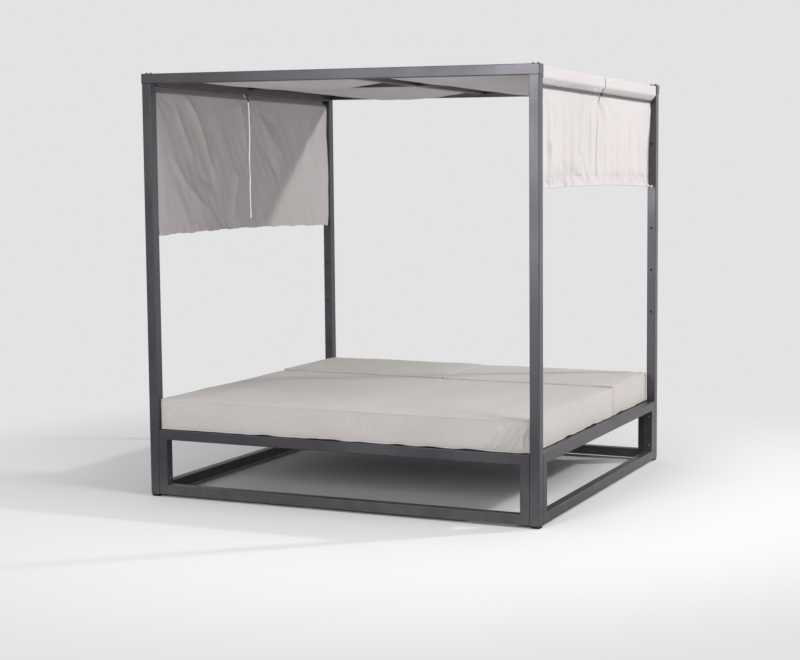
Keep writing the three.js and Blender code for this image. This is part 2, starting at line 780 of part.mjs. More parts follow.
// Racks: a plate whose crest follows the foot rod, with one notch for each angle that holds the backrest
function rack(x) {
  const last = propAngles.at(-1);
  const drop = propFootRadius + seam;
  const crest = [];
  for (let step = 0; step < crestSteps; step += 1) crest.push(footPlace(last - last * step / crestSteps));
  const start = crest[0].y - rackEndRoom;
  const end = hingeY + propReach + rackEndRoom;
  const shape = new THREE.Shape();
  shape.moveTo(start, channelBottom).lineTo(start, crest[0].z - drop);
  for (const spot of crest) shape.lineTo(spot.y, spot.z - drop);
  shape.lineTo(end, crest.at(-1).z - drop - seam).lineTo(end, channelBottom).closePath();
  const plate = extrude(shape, rackThickness, 'x').translate(x, 0, 0);
  const notches = propAngles.map((angle) => {
    const spot = footPlace(angle);
    const notch = rod(rackNotchRadius, rackThickness + 2 * cutOverrun, 'x', 12);
    return notch.translate(x, spot.y, spot.z - drop);
  });
  return combine(plate, [], notches);
}

// Rack channels: a folded rail on each side frame, which carries the panels and, behind the hinges, one rack
function rackChannel(side) {
  const webOuter = innerX - seam;
  const webInner = webOuter - channelWall;
  const lipOuter = panelOuterX - rackInset;
  const lipInner = lipOuter - rackThickness;
  const shape = new THREE.Shape();
  const points = [
    [webOuter, channelBottom], [webOuter, supportTop], [webOuter - channelFlange, supportTop],
    [webOuter - channelFlange, supportTop - channelWall], [webInner, supportTop - channelWall],
    [webInner, channelBottom + channelWall], [lipInner, channelBottom + channelWall],
    [lipInner, channelBottom],
  ];
  points.forEach(([x, z], index) => (index ? shape.lineTo(side * x, z) : shape.moveTo(side * x, z)));
  shape.closePath();
  const rail = extrude(shape, 2 * barEnd, 'y');
  const slotInner = webOuter - channelFlange - cutOverrun;
  const across = [side * slotInner, side * webInner].sort((a, b) => a - b);
  const slot = block(
    ...across, crossbarFront - seam, crossbarBack + seam,
    channelBottom + channelWall + seam, supportTop + cutOverrun,
  );
  const [near, far] = [side * (webOuter + cutOverrun), side * (lipInner - cutOverrun)].sort((a, b) => a - b);
  const seatEnd = crossbarFront - seam;
  const step = block(near, far, -innerY, seatEnd, channelBottom - cutOverrun, seatBearerBottom);
  return combine(rail, [rack(side * (lipOuter + lipInner) / 2)], [slot, step]);
}

// Centre bearers: a box section under the seat, and behind the hinges one with a rack on each side
function frontBearer() {
  const half = bearerWidth / 2;
  return block(-half, half, -barEnd, crossbarFront - seam, seatBearerBottom, supportTop);
}

function rearBearer() {
  const half = bearerWidth / 2;
  const start = crossbarBack + seam;
  const lipNear = panelInnerX + rackInset;
  const lipFar = lipNear + rackThickness;
  const lipX = (lipNear + lipFar) / 2;
  const web = block(-half, half, start, barEnd, channelBottom, supportTop);
  const base = block(-lipFar, lipFar, start, barEnd, channelBottom, channelBottom + channelWall);
  return combine(web, [base, rack(lipX), rack(-lipX)]);
}

// Cushions: a boxed foam block with a crown, drawn-in sides, rounded corners and slightly bulging walls
function cushion(x0, x1, y0, y1) {
  const halfX = (x1 - x0) / 2;
  const halfY = (y1 - y0) / 2;
  const geometry = new THREE.BoxGeometry(2, 2, 2, cushionSteps[0], cushionSteps[1], cushionSteps[2]);
  const place = geometry.attributes.position;
  const spread = (unit, steps, half) => {
    const index = Math.round(Math.abs(unit) * steps / 2);
    const fromEdge = steps / 2 - index;
    const core = half - cushionCorner;
    const share = cornerShares[fromEdge];
    const inner = core * index / (steps / 2 - cornerShares.length + 1);
    return Math.sign(unit) * (share === undefined ? inner : core + cushionCorner * share);
  };
  for (let index = 0; index < place.count; index += 1) {
    const t = place.getZ(index);
    let x = spread(place.getX(index), cushionSteps[0], halfX);
    let y = spread(place.getY(index), cushionSteps[1], halfY);
    const u = x / halfX;
    const v = y / halfY;
    const overX = Math.abs(x) - halfX + cushionCorner;
    const overY = Math.abs(y) - halfY + cushionCorner;
    const over = Math.hypot(overX, overY);
    if (overX > 0 && overY > 0 && over > cushionCorner) {
      x -= Math.sign(x) * overX * (1 - cushionCorner / over);
      y -= Math.sign(y) * overY * (1 - cushionCorner / over);
    }
    const inset = cushionBulge * t * t;
    x -= u * Math.abs(u) ** cushionEdgePower * (inset + cushionPull * (1 - v * v));
    y -= v * Math.abs(v) ** cushionEdgePower * (inset + cushionPull * (1 - u * u));
    const fade = (1 - u ** cushionCrownPower) * (1 - v ** cushionCrownPower);
    const crown = t > 0 ? cushionCrown * t * fade : 0;
    place.setXYZ(index, x, y, t * cushionHeight / 2 + crown);
  }
  geometry.deleteAttribute('normal');
  geometry.deleteAttribute('uv');
  const closed = mergeVertices(geometry, 1e-3);
  return closed.translate((x0 + x1) / 2, (y0 + y1) / 2, railTop + softGap + cushionHeight / 2);
}

// Assembly
const corners = [
  ['front_left', -1, -1], ['front_right', 1, -1], ['rear_left', -1, 1], ['rear_right', 1, 1],
];
for (const [name, sideX, sideY] of corners) {
  add(`post_${name}`, post(sideX, sideY), finishes.frame).position.set(sideX * postX, sideY * postY, 0);
  add(`foot_${name}`, foot(), finishes.plastic).position.set(sideX * postX, sideY * postY, 0);
  add(`beam_cap_${name}`, endCap(sideX), finishes.plastic).position.set(0, sideY * postY, 0);
  for (const [place, step] of [['a', -1], ['b', 1]]) {
    const length = tubeSide + seam + postPlateThickness + beamBoltTail;
    const bolt = domedBolt(beamBoltRadius, beamBoltHeadRadius, beamBoltHeadHeight, length);
    const mesh = add(`beam_bolt_${name}_${place}`, bolt, finishes.steel);
    mesh.position.set(sideX * postX + step * beamBoltSpacing / 2, sideY * postY, frameHeight + seam);
  }
  const hookHole = sideX < 0 ? leftHookHole : rightHookHole;
  add(`curtain_tie_${name}`, cornerTie(sideX, sideY, hookHole), finishes.tie);
}

for (const [name, sideY] of [['front', -1], ['rear', 1]]) {
  add(`beam_${name}`, beam(), finishes.frame).position.set(0, sideY * postY, 0);
  const frame = baseFrame(2 * (innerX - seam), 'x');
  add(`base_frame_${name}`, frame, finishes.frame).position.set(0, sideY * postY, 0);
}

for (const [name, sideX] of [['left', -1], ['right', 1]]) {
  const frame = baseFrame(2 * (innerY - seam), 'y');
  add(`base_frame_${name}`, frame, finishes.frame).position.set(sideX * postX, 0, 0);
  const sideBar = tube(sideBarWidth, sideBarHeight, 2 * barEnd, 'y');
  const barX = sideX * (sideBarOuter + sideBarInner) / 2;
  add(`side_bar_${name}`, sideBar, finishes.frame).position.set(barX, 0, roofBarTop - sideBarHeight / 2);
  const crossLength = sideBarInner - crossBarWidth / 2 - 2 * seam;
  const crossBar = tube(crossBarWidth, crossBarHeight, crossLength, 'x', crossBarRound);
  const crossX = sideX * (sideBarInner + crossBarWidth / 2) / 2;
  add(`cross_bar_${name}`, crossBar, finishes.frame).position.set(crossX, 0, roofBarTop - crossBarHeight / 2);
  add(`guide_rod_${name}`, guideRod(), finishes.frame).position.set(sideX * postX, 0, rodHeight);
  add(`rod_hanger_${name}`, hanger(), finishes.frame).position.set(sideX * postX, 0, rodHeight);
  add(`rack_channel_${name}`, rackChannel(sideX), finishes.platform);
  add(`backrest_frame_${name}`, backrestFrame(sideX), finishes.platform);
  add(`backrest_prop_${name}`, prop(sideX), finishes.platform);
  for (const [place, x] of [['inner', hingePlaces(sideX)[0]], ['outer', hingePlaces(sideX)[1]]]) {
    const shift = -sideX * (hingePlateThickness + hingePlateGap) / 2;
    add(`hinge_pin_${name}_${place}`, hingePin(), finishes.steel).position.set(x + shift, hingeY, hingeZ);
  }
}

const centreBar = tube(crossBarWidth, crossBarHeight, 2 * barEnd, 'y', crossBarRound);
add('centre_bar', centreBar, finishes.frame).position.set(0, 0, roofBarTop - crossBarHeight / 2);
add('hinge_crossbar', hingeCrossbar(), finishes.platform);
add('centre_bearer_front', frontBearer(), finishes.platform);
add('centre_bearer_rear', rearBearer(), finishes.platform);
add('seat_platform', seatPlatform(), finishes.platform);
add('canopy_sheet', shadeSheet(), finishes.shade);

const cushionX = halfWidth - cushionSideInset;
const cushionFront = -halfDepth + cushionFrontInset;
const cushionBack = halfDepth - cushionRearInset;
const cushionSplit = cushionGap / 2;
const jointFront = hingeY - cushionSplit;
const jointBack = hingeY + cushionSplit;
add('cushion_front', cushion(-cushionX, cushionX, cushionFront, jointFront), finishes.cushion);
add('cushion_rear_left', cushion(-cushionX, -cushionSplit, jointBack, cushionBack), finishes.cushion);
add('cushion_rear_right', cushion(cushionSplit, cushionX, jointBack, cushionBack), finishes.cushion);

export default part;
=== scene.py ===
"""Outdoor daybed with a square-tube canopy frame, a draped shade sheet and reclining rear cushions.

Lengths are in metres. +X runs along the front, +Y to the back, +Z up, and the origin is on the floor.
"""
import json
import logging
import math
from dataclasses import dataclass, replace
from enum import Enum
from typing import Callable, Iterable, Optional, Sequence

import bpy
from mathutils import Matrix, Vector, noise
from mathutils.bvhtree import BVHTree


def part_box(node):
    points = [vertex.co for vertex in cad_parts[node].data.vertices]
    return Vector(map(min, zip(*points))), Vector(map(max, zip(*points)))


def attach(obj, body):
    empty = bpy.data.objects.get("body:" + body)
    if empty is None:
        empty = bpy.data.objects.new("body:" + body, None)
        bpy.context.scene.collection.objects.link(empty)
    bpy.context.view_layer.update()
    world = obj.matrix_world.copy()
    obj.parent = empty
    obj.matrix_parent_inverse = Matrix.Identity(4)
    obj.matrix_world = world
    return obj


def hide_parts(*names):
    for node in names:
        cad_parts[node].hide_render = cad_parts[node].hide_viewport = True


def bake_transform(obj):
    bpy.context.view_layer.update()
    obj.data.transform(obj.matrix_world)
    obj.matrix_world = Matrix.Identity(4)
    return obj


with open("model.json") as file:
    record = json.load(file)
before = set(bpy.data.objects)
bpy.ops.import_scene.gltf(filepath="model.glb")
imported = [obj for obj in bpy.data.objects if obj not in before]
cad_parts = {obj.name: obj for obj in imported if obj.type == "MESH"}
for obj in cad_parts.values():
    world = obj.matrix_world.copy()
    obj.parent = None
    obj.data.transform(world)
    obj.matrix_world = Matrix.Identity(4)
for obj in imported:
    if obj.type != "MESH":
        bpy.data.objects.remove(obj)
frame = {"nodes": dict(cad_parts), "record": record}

LOG = logging.getLogger("daybed")
Node, Socket, Tree = bpy.types.Node, bpy.types.NodeSocket, bpy.types.NodeTree
Object, Material = bpy.types.Object, bpy.types.Material
Point = tuple[float, float, float]
Colour = tuple[float, float, float]
Solid = tuple[list[Vector], list[tuple[int, ...]]]
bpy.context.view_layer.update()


class Side(Enum):
    """The two sides of the daybed, seen from its front."""

    LEFT = -1
    RIGHT = 1


class Body(Enum):
    """The rigid bodies that a piece can ride on."""

    FRAME = "frame"
    BACKREST_LEFT = "backrest_left"
    BACKREST_RIGHT = "backrest_right"


def linear(red: int, green: int, blue: int) -> Colour:
    """Linear values of a display colour given from 0 to 255."""
    return tuple((c / 12.92 if c <= 0.04045 else ((c + 0.055) / 1.055) ** 2.4)
                 for c in (red / 255, green / 255, blue / 255))


def smooth(value: float) -> float:
    """Smooth step from 0 to 1."""
    value = min(1.0, max(0.0, value))
    return value * value * (3 - 2 * value)


# ---------------------------------------------------------------------------
# Shader and geometry node helpers


@dataclass
class Wiring:
    """A node tree with short ways to add nodes and links."""

    tree: Tree

    def add(self, kind: str, values: Optional[dict] = None, **settings: object) -> Node:
        """Adds a node, with default values of its inputs by name or number, and with its properties."""
        node = self.tree.nodes.new(kind)
        for name, value in settings.items():
            setattr(node, name, value)
        for name, value in (values or {}).items():
            node.inputs[name].default_value = value
        return node

    def link(self, source: Socket, target: Socket) -> None:
        """Links two sockets."""
        self.tree.links.new(source, target)

    def join(self, *pairs: tuple[Socket, Socket]) -> None:
        """Links several pairs of sockets."""
        for source, target in pairs:
            self.link(source, target)

    def maths(self, operation: str, first: object, second: object = 0.0) -> Socket:
        """Adds a Math node on two sockets or numbers and returns its output."""
        node = self.add("ShaderNodeMath", operation=operation)
        for index, value in enumerate((first, second)):
            if isinstance(value, (int, float)):
                node.inputs[index].default_value = value
            else:
                self.link(value, node.inputs[index])
        return node.outputs[0]


def new_group(name: str, inputs: Sequence[tuple[str, str, object]], outputs: Sequence[str], kind: str = "Shader",
              result: str = "Float") -> tuple[Wiring, Node, Node]:
    """Starts a node group.

    Args:
        name: the group's name.
        inputs: (name, socket type, default value or None) of each input.
        outputs: the names of its outputs.
        kind: the kind of its tree.
        result: the socket type of all its outputs.

    Returns:
        The wiring, the input node and the output node.
    """
    tree = bpy.data.node_groups.new(name, f"{kind}NodeTree")
    for label, socket_type, value in inputs:
        socket = tree.interface.new_socket(label, in_out="INPUT", socket_type=f"NodeSocket{socket_type}")
        if value is not None:
            socket.default_value = value
    for label in outputs:
        tree.interface.new_socket(label, in_out="OUTPUT", socket_type=f"NodeSocket{result}")
    wiring = Wiring(tree)
    return wiring, wiring.add("NodeGroupInput"), wiring.add("NodeGroupOutput")


def grain_group() -> Tree:
    """Fine coat grain and slow variation over a surface."""
    w, start, end = new_group("CoatGrain", [("Vector", "Vector", None), ("Grain Scale", "Float", 900.0),
                                            ("Cloud Scale", "Float", 2.5)], ["Grain", "Cloud"])
    for name, detail, roughness in (("Grain", 3.0, 0.6), ("Cloud", 4.0, 0.55)):
        node = w.add("ShaderNodeTexNoise", {"Detail": detail, "Roughness": roughness})
        w.join((start.outputs["Vector"], node.inputs["Vector"]),
               (start.outputs[f"{name} Scale"], node.inputs["Scale"]), (node.outputs["Fac"], end.inputs[name]))
    return w.tree


def weave_group() -> Tree:
    """Plain weave: threads that pass over and under each other along two directions."""
    w, start, end = new_group("PlainWeave", [("Vector", "Vector", None), ("Threads", "Float", 900.0)], ["Height"])
    parts = w.add("ShaderNodeSeparateXYZ")
    w.link(start.outputs["Vector"], parts.inputs[0])
    along, across = (w.maths("MULTIPLY", w.maths("ADD", parts.outputs[axis], parts.outputs["Z"]),
                             start.outputs["Threads"]) for axis in "XY")
    warp, weft = (w.maths("ABSOLUTE", w.maths("SINE", w.maths("MULTIPLY", way, math.pi))) for way in (along, across))
    cells = w.maths("ADD", w.maths("FLOOR", along), w.maths("FLOOR", across))
    over = w.maths("MODULO", w.maths("ABSOLUTE", cells), 2.0)
    top = w.maths("MULTIPLY", warp, over)
    rest = w.maths("MULTIPLY", weft, w.maths("SUBTRACT", 1.0, over))
    w.link(w.maths("ADD", top, rest), end.inputs["Height"])
    return w.tree


def dust_group() -> Tree:
    """Dust that gathers low down and in patches."""
    w, start, end = new_group("LowDust", [("Vector", "Vector", None), ("Reach", "Float", 0.4)], ["Dust"])
    parts = w.add("ShaderNodeSeparateXYZ")
    w.link(start.outputs["Vector"], parts.inputs[0])
    low = w.maths("SUBTRACT", 1.0, w.maths("DIVIDE", parts.outputs["Z"], start.outputs["Reach"]))
    low.node.use_clamp = True
    patches = w.add("ShaderNodeTexNoise", {"Scale": 14.0, "Detail": 5.0})
    w.link(start.outputs["Vector"], patches.inputs["Vector"])
    w.link(w.maths("MULTIPLY", low, patches.outputs["Fac"]), end.inputs["Dust"])
    return w.tree


GROUP_MAKERS: dict[str, Callable[[], Tree]] = {
    "CoatGrain": grain_group, "PlainWeave": weave_group, "LowDust": dust_group}
GROUPS: dict[str, Tree] = {}


def group_node(w: Wiring, name: str, vector: Socket, **values: float) -> Node:
    """Places a shared node group in a material.

    Args:
        w: the material's wiring.
        name: the group's name.
        vector: the coordinates that it reads.
        **values: its other inputs, with underscores for spaces.

    Returns:
        The group's node.
    """
    if name not in GROUPS:
        GROUPS[name] = GROUP_MAKERS[name]()
    node = w.add("ShaderNodeGroup", node_tree=GROUPS[name])
    w.link(vector, node.inputs["Vector"])
    for label, value in values.items():
        node.inputs[label.replace("_", " ")].default_value = value
    return node


def tinted(w: Wiring, factor: Socket, first: object, second: object) -> Socket:
    """Mixes two colours by a factor and returns the result's socket."""
    mix = w.add("ShaderNodeMix", data_type="RGBA")
    w.link(factor, mix.inputs["Factor"])
    for key, value in ((6, first), (7, second)):
        if isinstance(value, tuple):
            mix.inputs[key].default_value = (*value, 1.0)
        else:
            w.link(value, mix.inputs[key])
    return mix.outputs[2]


def ranged(w: Wiring, value: Socket, low: float, high: float,
           to_low: float = 0.0, to_high: float = 1.0) -> Socket:
    """Maps a value from one range to another."""
    node = w.add("ShaderNodeMapRange", {
        "From Min": low, "From Max": high, "To Min": to_low, "To Max": to_high})
    w.link(value, node.inputs["Value"])
    return node.outputs["Result"]


def start_material(name: str) -> tuple[Material, Wiring, Node]:
    """Makes a material with only its Principled BSDF and its output."""
    material = bpy.data.materials.new(name)
    material.use_nodes = True
    return material, Wiring(material.node_tree), material.node_tree.nodes["Principled BSDF"]


def relief(w: Wiring, shader: Node, height: Socket, strength: float, distance: float) -> None:
    """Gives a shader the fine relief of a height."""
    bump = w.add("ShaderNodeBump", {"Strength": strength, "Distance": distance})
    w.join((height, bump.inputs["Height"]), (bump.outputs["Normal"], shader.inputs["Normal"]))


def scaled(colour: Colour, factor: float, more: float = 0.0) -> Colour:
    """A darker or lighter tone of a colour."""
    return tuple(min(1.0, c * factor + more) for c in colour)


# ---------------------------------------------------------------------------
# Finishes

DUST = linear(176, 170, 160)


@dataclass(frozen=True)
class PowderCoat:
    """Textured powder coat on metal."""

    name: str
    colour: Colour
    roughness: float = 0.5
    specular: float = 0.5
    grain: float = 0.00012
    grain_scale: float = 1100.0

    def make(self) -> Material:
        """Builds the material."""
        material, w, shader = start_material(self.name)
        place = w.add("ShaderNodeTexCoord").outputs["Object"]
        coat = group_node(w, "CoatGrain", place, Grain_Scale=self.grain_scale, Cloud_Scale=3.0)
        dust = group_node(w, "LowDust", place, Reach=0.35)
        darker, lighter, speck = (scaled(self.colour, *tone) for tone in ((0.86,), (1.14,), (1.5, 0.02)))
        base = tinted(w, ranged(w, coat.outputs["Cloud"], 0.35, 0.65), darker, lighter)
        base = tinted(w, ranged(w, coat.outputs["Grain"], 0.62, 0.74, 0.0, 0.35), base, speck)
        base = tinted(w, ranged(w, dust.outputs["Dust"], 0.1, 0.8, 0.0, 0.16), base, DUST)
        rough = ranged(w, coat.outputs["Cloud"], 0.3, 0.7, self.roughness - 0.06, self.roughness + 0.08)
        w.join((base, shader.inputs["Base Color"]), (rough, shader.inputs["Roughness"]))
        relief(w, shader, coat.outputs["Grain"], 0.5, self.grain)
        shader.inputs["Specular IOR Level"].default_value = self.specular
        return material


@dataclass(frozen=True)
class Moulded:
    """Matt moulded plastic."""

    name: str
    colour: Colour
    roughness: float = 0.5

    def make(self) -> Material:
        """Builds the material."""
        material, w, shader = start_material(self.name)
        place = w.add("ShaderNodeTexCoord").outputs["Object"]
        coat = group_node(w, "CoatGrain", place, Grain_Scale=2200.0, Cloud_Scale=40.0)
        base = tinted(w, ranged(w, coat.outputs["Cloud"], 0.4, 0.7), self.colour, scaled(self.colour, 1.35, 0.01))
        rough = ranged(w, coat.outputs["Cloud"], 0.3, 0.7, self.roughness - 0.08, self.roughness + 0.1)
        w.join((base, shader.inputs["Base Color"]), (rough, shader.inputs["Roughness"]))
        relief(w, shader, coat.outputs["Grain"], 0.4, 0.0001)
        return material


@dataclass(frozen=True)
class Steel:
    """Dull stainless steel with a fine, uneven roughness."""

    name: str
    colour: Colour
    roughness: float = 0.34

    def make(self) -> Material:
        """Builds the material."""
        material, w, shader = start_material(self.name)
        place = w.add("ShaderNodeTexCoord").outputs["Object"]
        coat = group_node(w, "CoatGrain", place, Grain_Scale=1500.0, Cloud_Scale=120.0)
        base = tinted(w, ranged(w, coat.outputs["Cloud"], 0.35, 0.7), self.colour, scaled(self.colour, 0.7))
        rough = ranged(w, coat.outputs["Grain"], 0.3, 0.7, self.roughness - 0.08, self.roughness + 0.14)
        w.join((base, shader.inputs["Base Color"]), (rough, shader.inputs["Roughness"]))
        shader.inputs["Metallic"].default_value = 0.9
        return material


@dataclass(frozen=True)
class Woven:
    """Plain-woven cloth, on object coordinates or on the piece's own UV map."""

    name: str
    colour: Colour
    threads: float = 620.0
    depth: float = 0.0003
    # how dark the painted shade in the dips of the weave is, as a share of the colour
    shade: float = 0.84
    by_uv: bool = False
    cloud: float = 3.0
    sheen: float = 0.15

    def make(self) -> Material:
        """Builds the material."""
        material, w, shader = start_material(self.name)
        place = w.add("ShaderNodeTexCoord").outputs["UV" if self.by_uv else "Object"]
        weave = group_node(w, "PlainWeave", place, Threads=self.threads)
        fibre = group_node(w, "CoatGrain", place, Grain_Scale=1600.0, Cloud_Scale=self.cloud)
        weave_dip_shade, pale, slub = (scaled(self.colour, tone) for tone in (self.shade, 1.06, 0.9))
        # painted shade: the dips between the threads are darkened toward the colour times shade, where shadow falls
        # between threads
        base = tinted(w, ranged(w, weave.outputs["Height"], 0.0, 0.7), weave_dip_shade, self.colour)
        base = tinted(w, ranged(w, fibre.outputs["Cloud"], 0.4, 0.65, 0.0, 0.6), base, pale)
        base = tinted(w, ranged(w, fibre.outputs["Grain"], 0.55, 0.75, 0.0, 0.4), base, slub)
        rough = ranged(w, weave.outputs["Height"], 0.0, 1.0, 0.95, 0.82)
        w.join((base, shader.inputs["Base Color"]), (rough, shader.inputs["Roughness"]))
        relief(w, shader, weave.outputs["Height"], 0.6, self.depth)
        shader.inputs["Sheen Weight"].default_value = self.sheen
        shader.inputs["Specular IOR Level"].default_value = 0.2
        return material


FINISHES = {coat.name: coat for coat in (
    PowderCoat("frame_paint", linear(57, 55, 61), roughness=0.36, specular=0.9),
    PowderCoat("platform_paint", linear(52, 51, 55), roughness=0.46),
    Moulded("black_plastic", linear(14, 14, 15)),
    Moulded("grey_plastic", linear(84, 84, 88), roughness=0.42),
    Steel("bolt_steel", linear(88, 88, 92)),
    Woven("tie_cord", linear(232, 229, 224), threads=1600.0, shade=0.7),
    Woven("shade_fabric", linear(210, 204, 204), threads=1000.0, depth=0.00012, shade=0.9, by_uv=True, cloud=1.6,
          sheen=0.05),
    Woven("cushion_fabric", linear(206, 200, 196)),
    # painted shade: a darker copy of the cushion fabric for the left rear cushion, which lies in the canopy's shadow
    Woven("cushion_fabric_shaded", linear(203, 198, 192)),
    Woven("piping", linear(212, 206, 203), threads=900.0, depth=0.0002, shade=0.78),
    Woven("thread", linear(206, 202, 198), threads=2400.0, depth=0.0001, shade=0.8),
)}
MADE: dict[str, Material] = {}


def finish(name: str) -> Material:
    """The material of a finish, built once."""
    if name not in MADE:
        MADE[name] = FINISHES[name].make()
    return MADE[name]


# ---------------------------------------------------------------------------
# Mesh helpers


def mesh_object(name: str, points: Iterable[Sequence[float]], faces: Iterable[Sequence[int]],
                material: Optional[Material] = None, edges: Iterable[Sequence[int]] = ()) -> Object:
    """Makes a linked, smooth-shaded mesh object at the origin, with faces and loose edges by vertex number."""
    mesh = bpy.data.meshes.new(name)
    mesh.from_pydata([tuple(p) for p in points], list(edges), [tuple(f) for f in faces])
    mesh.validate()
    mesh.shade_smooth()
    if material is not None:
        mesh.materials.append(material)
    piece = bpy.data.objects.new(name, mesh)
    bpy.context.scene.collection.objects.link(piece)
    return piece


def settle(piece: Object) -> Object:
    """Replaces the object's mesh by its evaluated one and removes its modifiers."""
    bpy.context.view_layer.update()
    graph = bpy.context.evaluated_depsgraph_get()
    mesh = bpy.data.meshes.new_from_object(piece.evaluated_get(graph), depsgraph=graph)
    piece.modifiers.clear()
    old = piece.data
    piece.data = mesh
    bpy.data.meshes.remove(old)
    return piece


def swept(path: Sequence[Vector], radius: float, sides: int = 8) -> Solid:
    """The vertices and faces of a round tube along a closed level path."""
    count = len(path)
    points: list[Vector] = []
    faces: list[tuple[int, ...]] = []
    for index, point in enumerate(path):
        tangent = (path[(index + 1) % count] - path[index - 1]).normalized()
        side = tangent.cross(Vector((0, 0, 1))).normalized()
        top = side.cross(tangent)
        here, there = index * sides, (index + 1) % count * sides
        for step in range(sides):
            angle = 2 * math.pi * step / sides
            points.append(point + side * (radius * math.cos(angle)) + top * (radius * math.sin(angle)))
            other = (step + 1) % sides
            faces.append((here + step, here + other, there + other, there + step))
    return points, faces


def turned(profile: Sequence[tuple[float, float]], sides: int = 18) -> Solid:
    """A turned solid round +Z from (radius, height) pairs that start and end on the axis."""
    points: list[Vector] = []
    rings: list[list[int]] = []
    for radius, height in profile:
        ring: list[int] = []
        for step in range(sides if radius > 0 else 1):
            angle = 2 * math.pi * step / sides
            ring.append(len(points))
            points.append(Vector((radius * math.cos(angle), radius * math.sin(angle), height)))
        rings.append(ring)
    faces: list[tuple[int, ...]] = []
    for low, high in zip(rings, rings[1:]):
        for step in range(sides):
            other = (step + 1) % sides
            corners = (low[step % len(low)], low[other % len(low)], high[other % len(high)], high[step % len(high)])
            face = tuple(dict.fromkeys(corners))
            if len(face) > 2:
                faces.append(face)
    return points, faces


# ---------------------------------------------------------------------------
# Repeated pieces by geometry nodes


def instance_group(name: str, numbers: Sequence[str]) -> tuple[Wiring, Node, Node]:
    """Starts a geometry node group that puts instances on points, makes them real and gives them a material.

    Args:
        name: the group's name.
        numbers: the names of its number inputs.

    Returns:
        The wiring, the input node and the node that puts the instances.
    """
    inputs = [("Geometry", "Geometry", None), *((label, "Float", None) for label in numbers),
              ("Material", "Material", None)]
    w, start, end = new_group(name, inputs, ["Geometry"], "Geometry", "Geometry")
    put = w.add("GeometryNodeInstanceOnPoints")
    real = w.add("GeometryNodeRealizeInstances")
    dress = w.add("GeometryNodeSetMaterial")
    w.join((put.outputs[0], real.inputs[0]), (real.outputs[0], dress.inputs[0]),
           (start.outputs["Material"], dress.inputs["Material"]), (dress.outputs[0], end.inputs[0]))
    return w, start, put


def grown(piece: Object, tree: Tree, values: dict[str, object]) -> Object:
    """Runs a geometry node tree on an object and keeps the result as its plain mesh."""
    modifier = piece.modifiers.new(tree.name, "NODES")
    modifier.node_group = tree
    for item in tree.interface.items_tree:
        if item.in_out == "INPUT" and item.name in values:
            modifier[item.identifier] = values[item.name]
    return settle(piece)


@dataclass
class Stitching:
    """Rows of stitches that follow lines on a cloth."""

    pitch: float = 0.0085
    length: float = 0.0052
    thread: float = 0.0009

    @staticmethod
    def tree() -> Tree:
        """Builds the geometry node tree."""
        w, start, put = instance_group("Stitches", ("Pitch", "Length", "Thread"))
        curve = w.add("GeometryNodeMeshToCurve")
        points = w.add("GeometryNodeCurveToPoints", mode="LENGTH")
        shape = w.add("GeometryNodeMeshIcoSphere", {"Radius": 0.5, "Subdivisions": 1})
        scale = w.add("ShaderNodeCombineXYZ")
        w.join((start.outputs["Geometry"], curve.inputs[0]), (curve.outputs[0], points.inputs[0]),
               (start.outputs["Pitch"], points.inputs["Length"]), (points.outputs["Points"], put.inputs["Points"]),
               (points.outputs["Rotation"], put.inputs["Rotation"]), (shape.outputs[0], put.inputs["Instance"]),
               (start.outputs["Thread"], scale.inputs["X"]), (start.outputs["Thread"], scale.inputs["Y"]),
               (start.outputs["Length"], scale.inputs["Z"]), (scale.outputs[0], put.inputs["Scale"]))
        return w.tree

    def sew(self, name: str, rows: Sequence[Sequence[Vector]], material: Material) -> Object:
        """Sews stitches of a material along rows of points, as one plain mesh."""
        points: list[Vector] = []
        edges: list[tuple[int, int]] = []
        for row in rows:
            first = len(points)
            points.extend(row)
            edges.extend((first + i, first + i + 1) for i in range(len(row) - 1))
        values = {"Pitch": self.pitch, "Length": self.length, "Thread": self.thread, "Material": material}
        return grown(mesh_object(name, points, [], edges=edges), self.tree(), values)


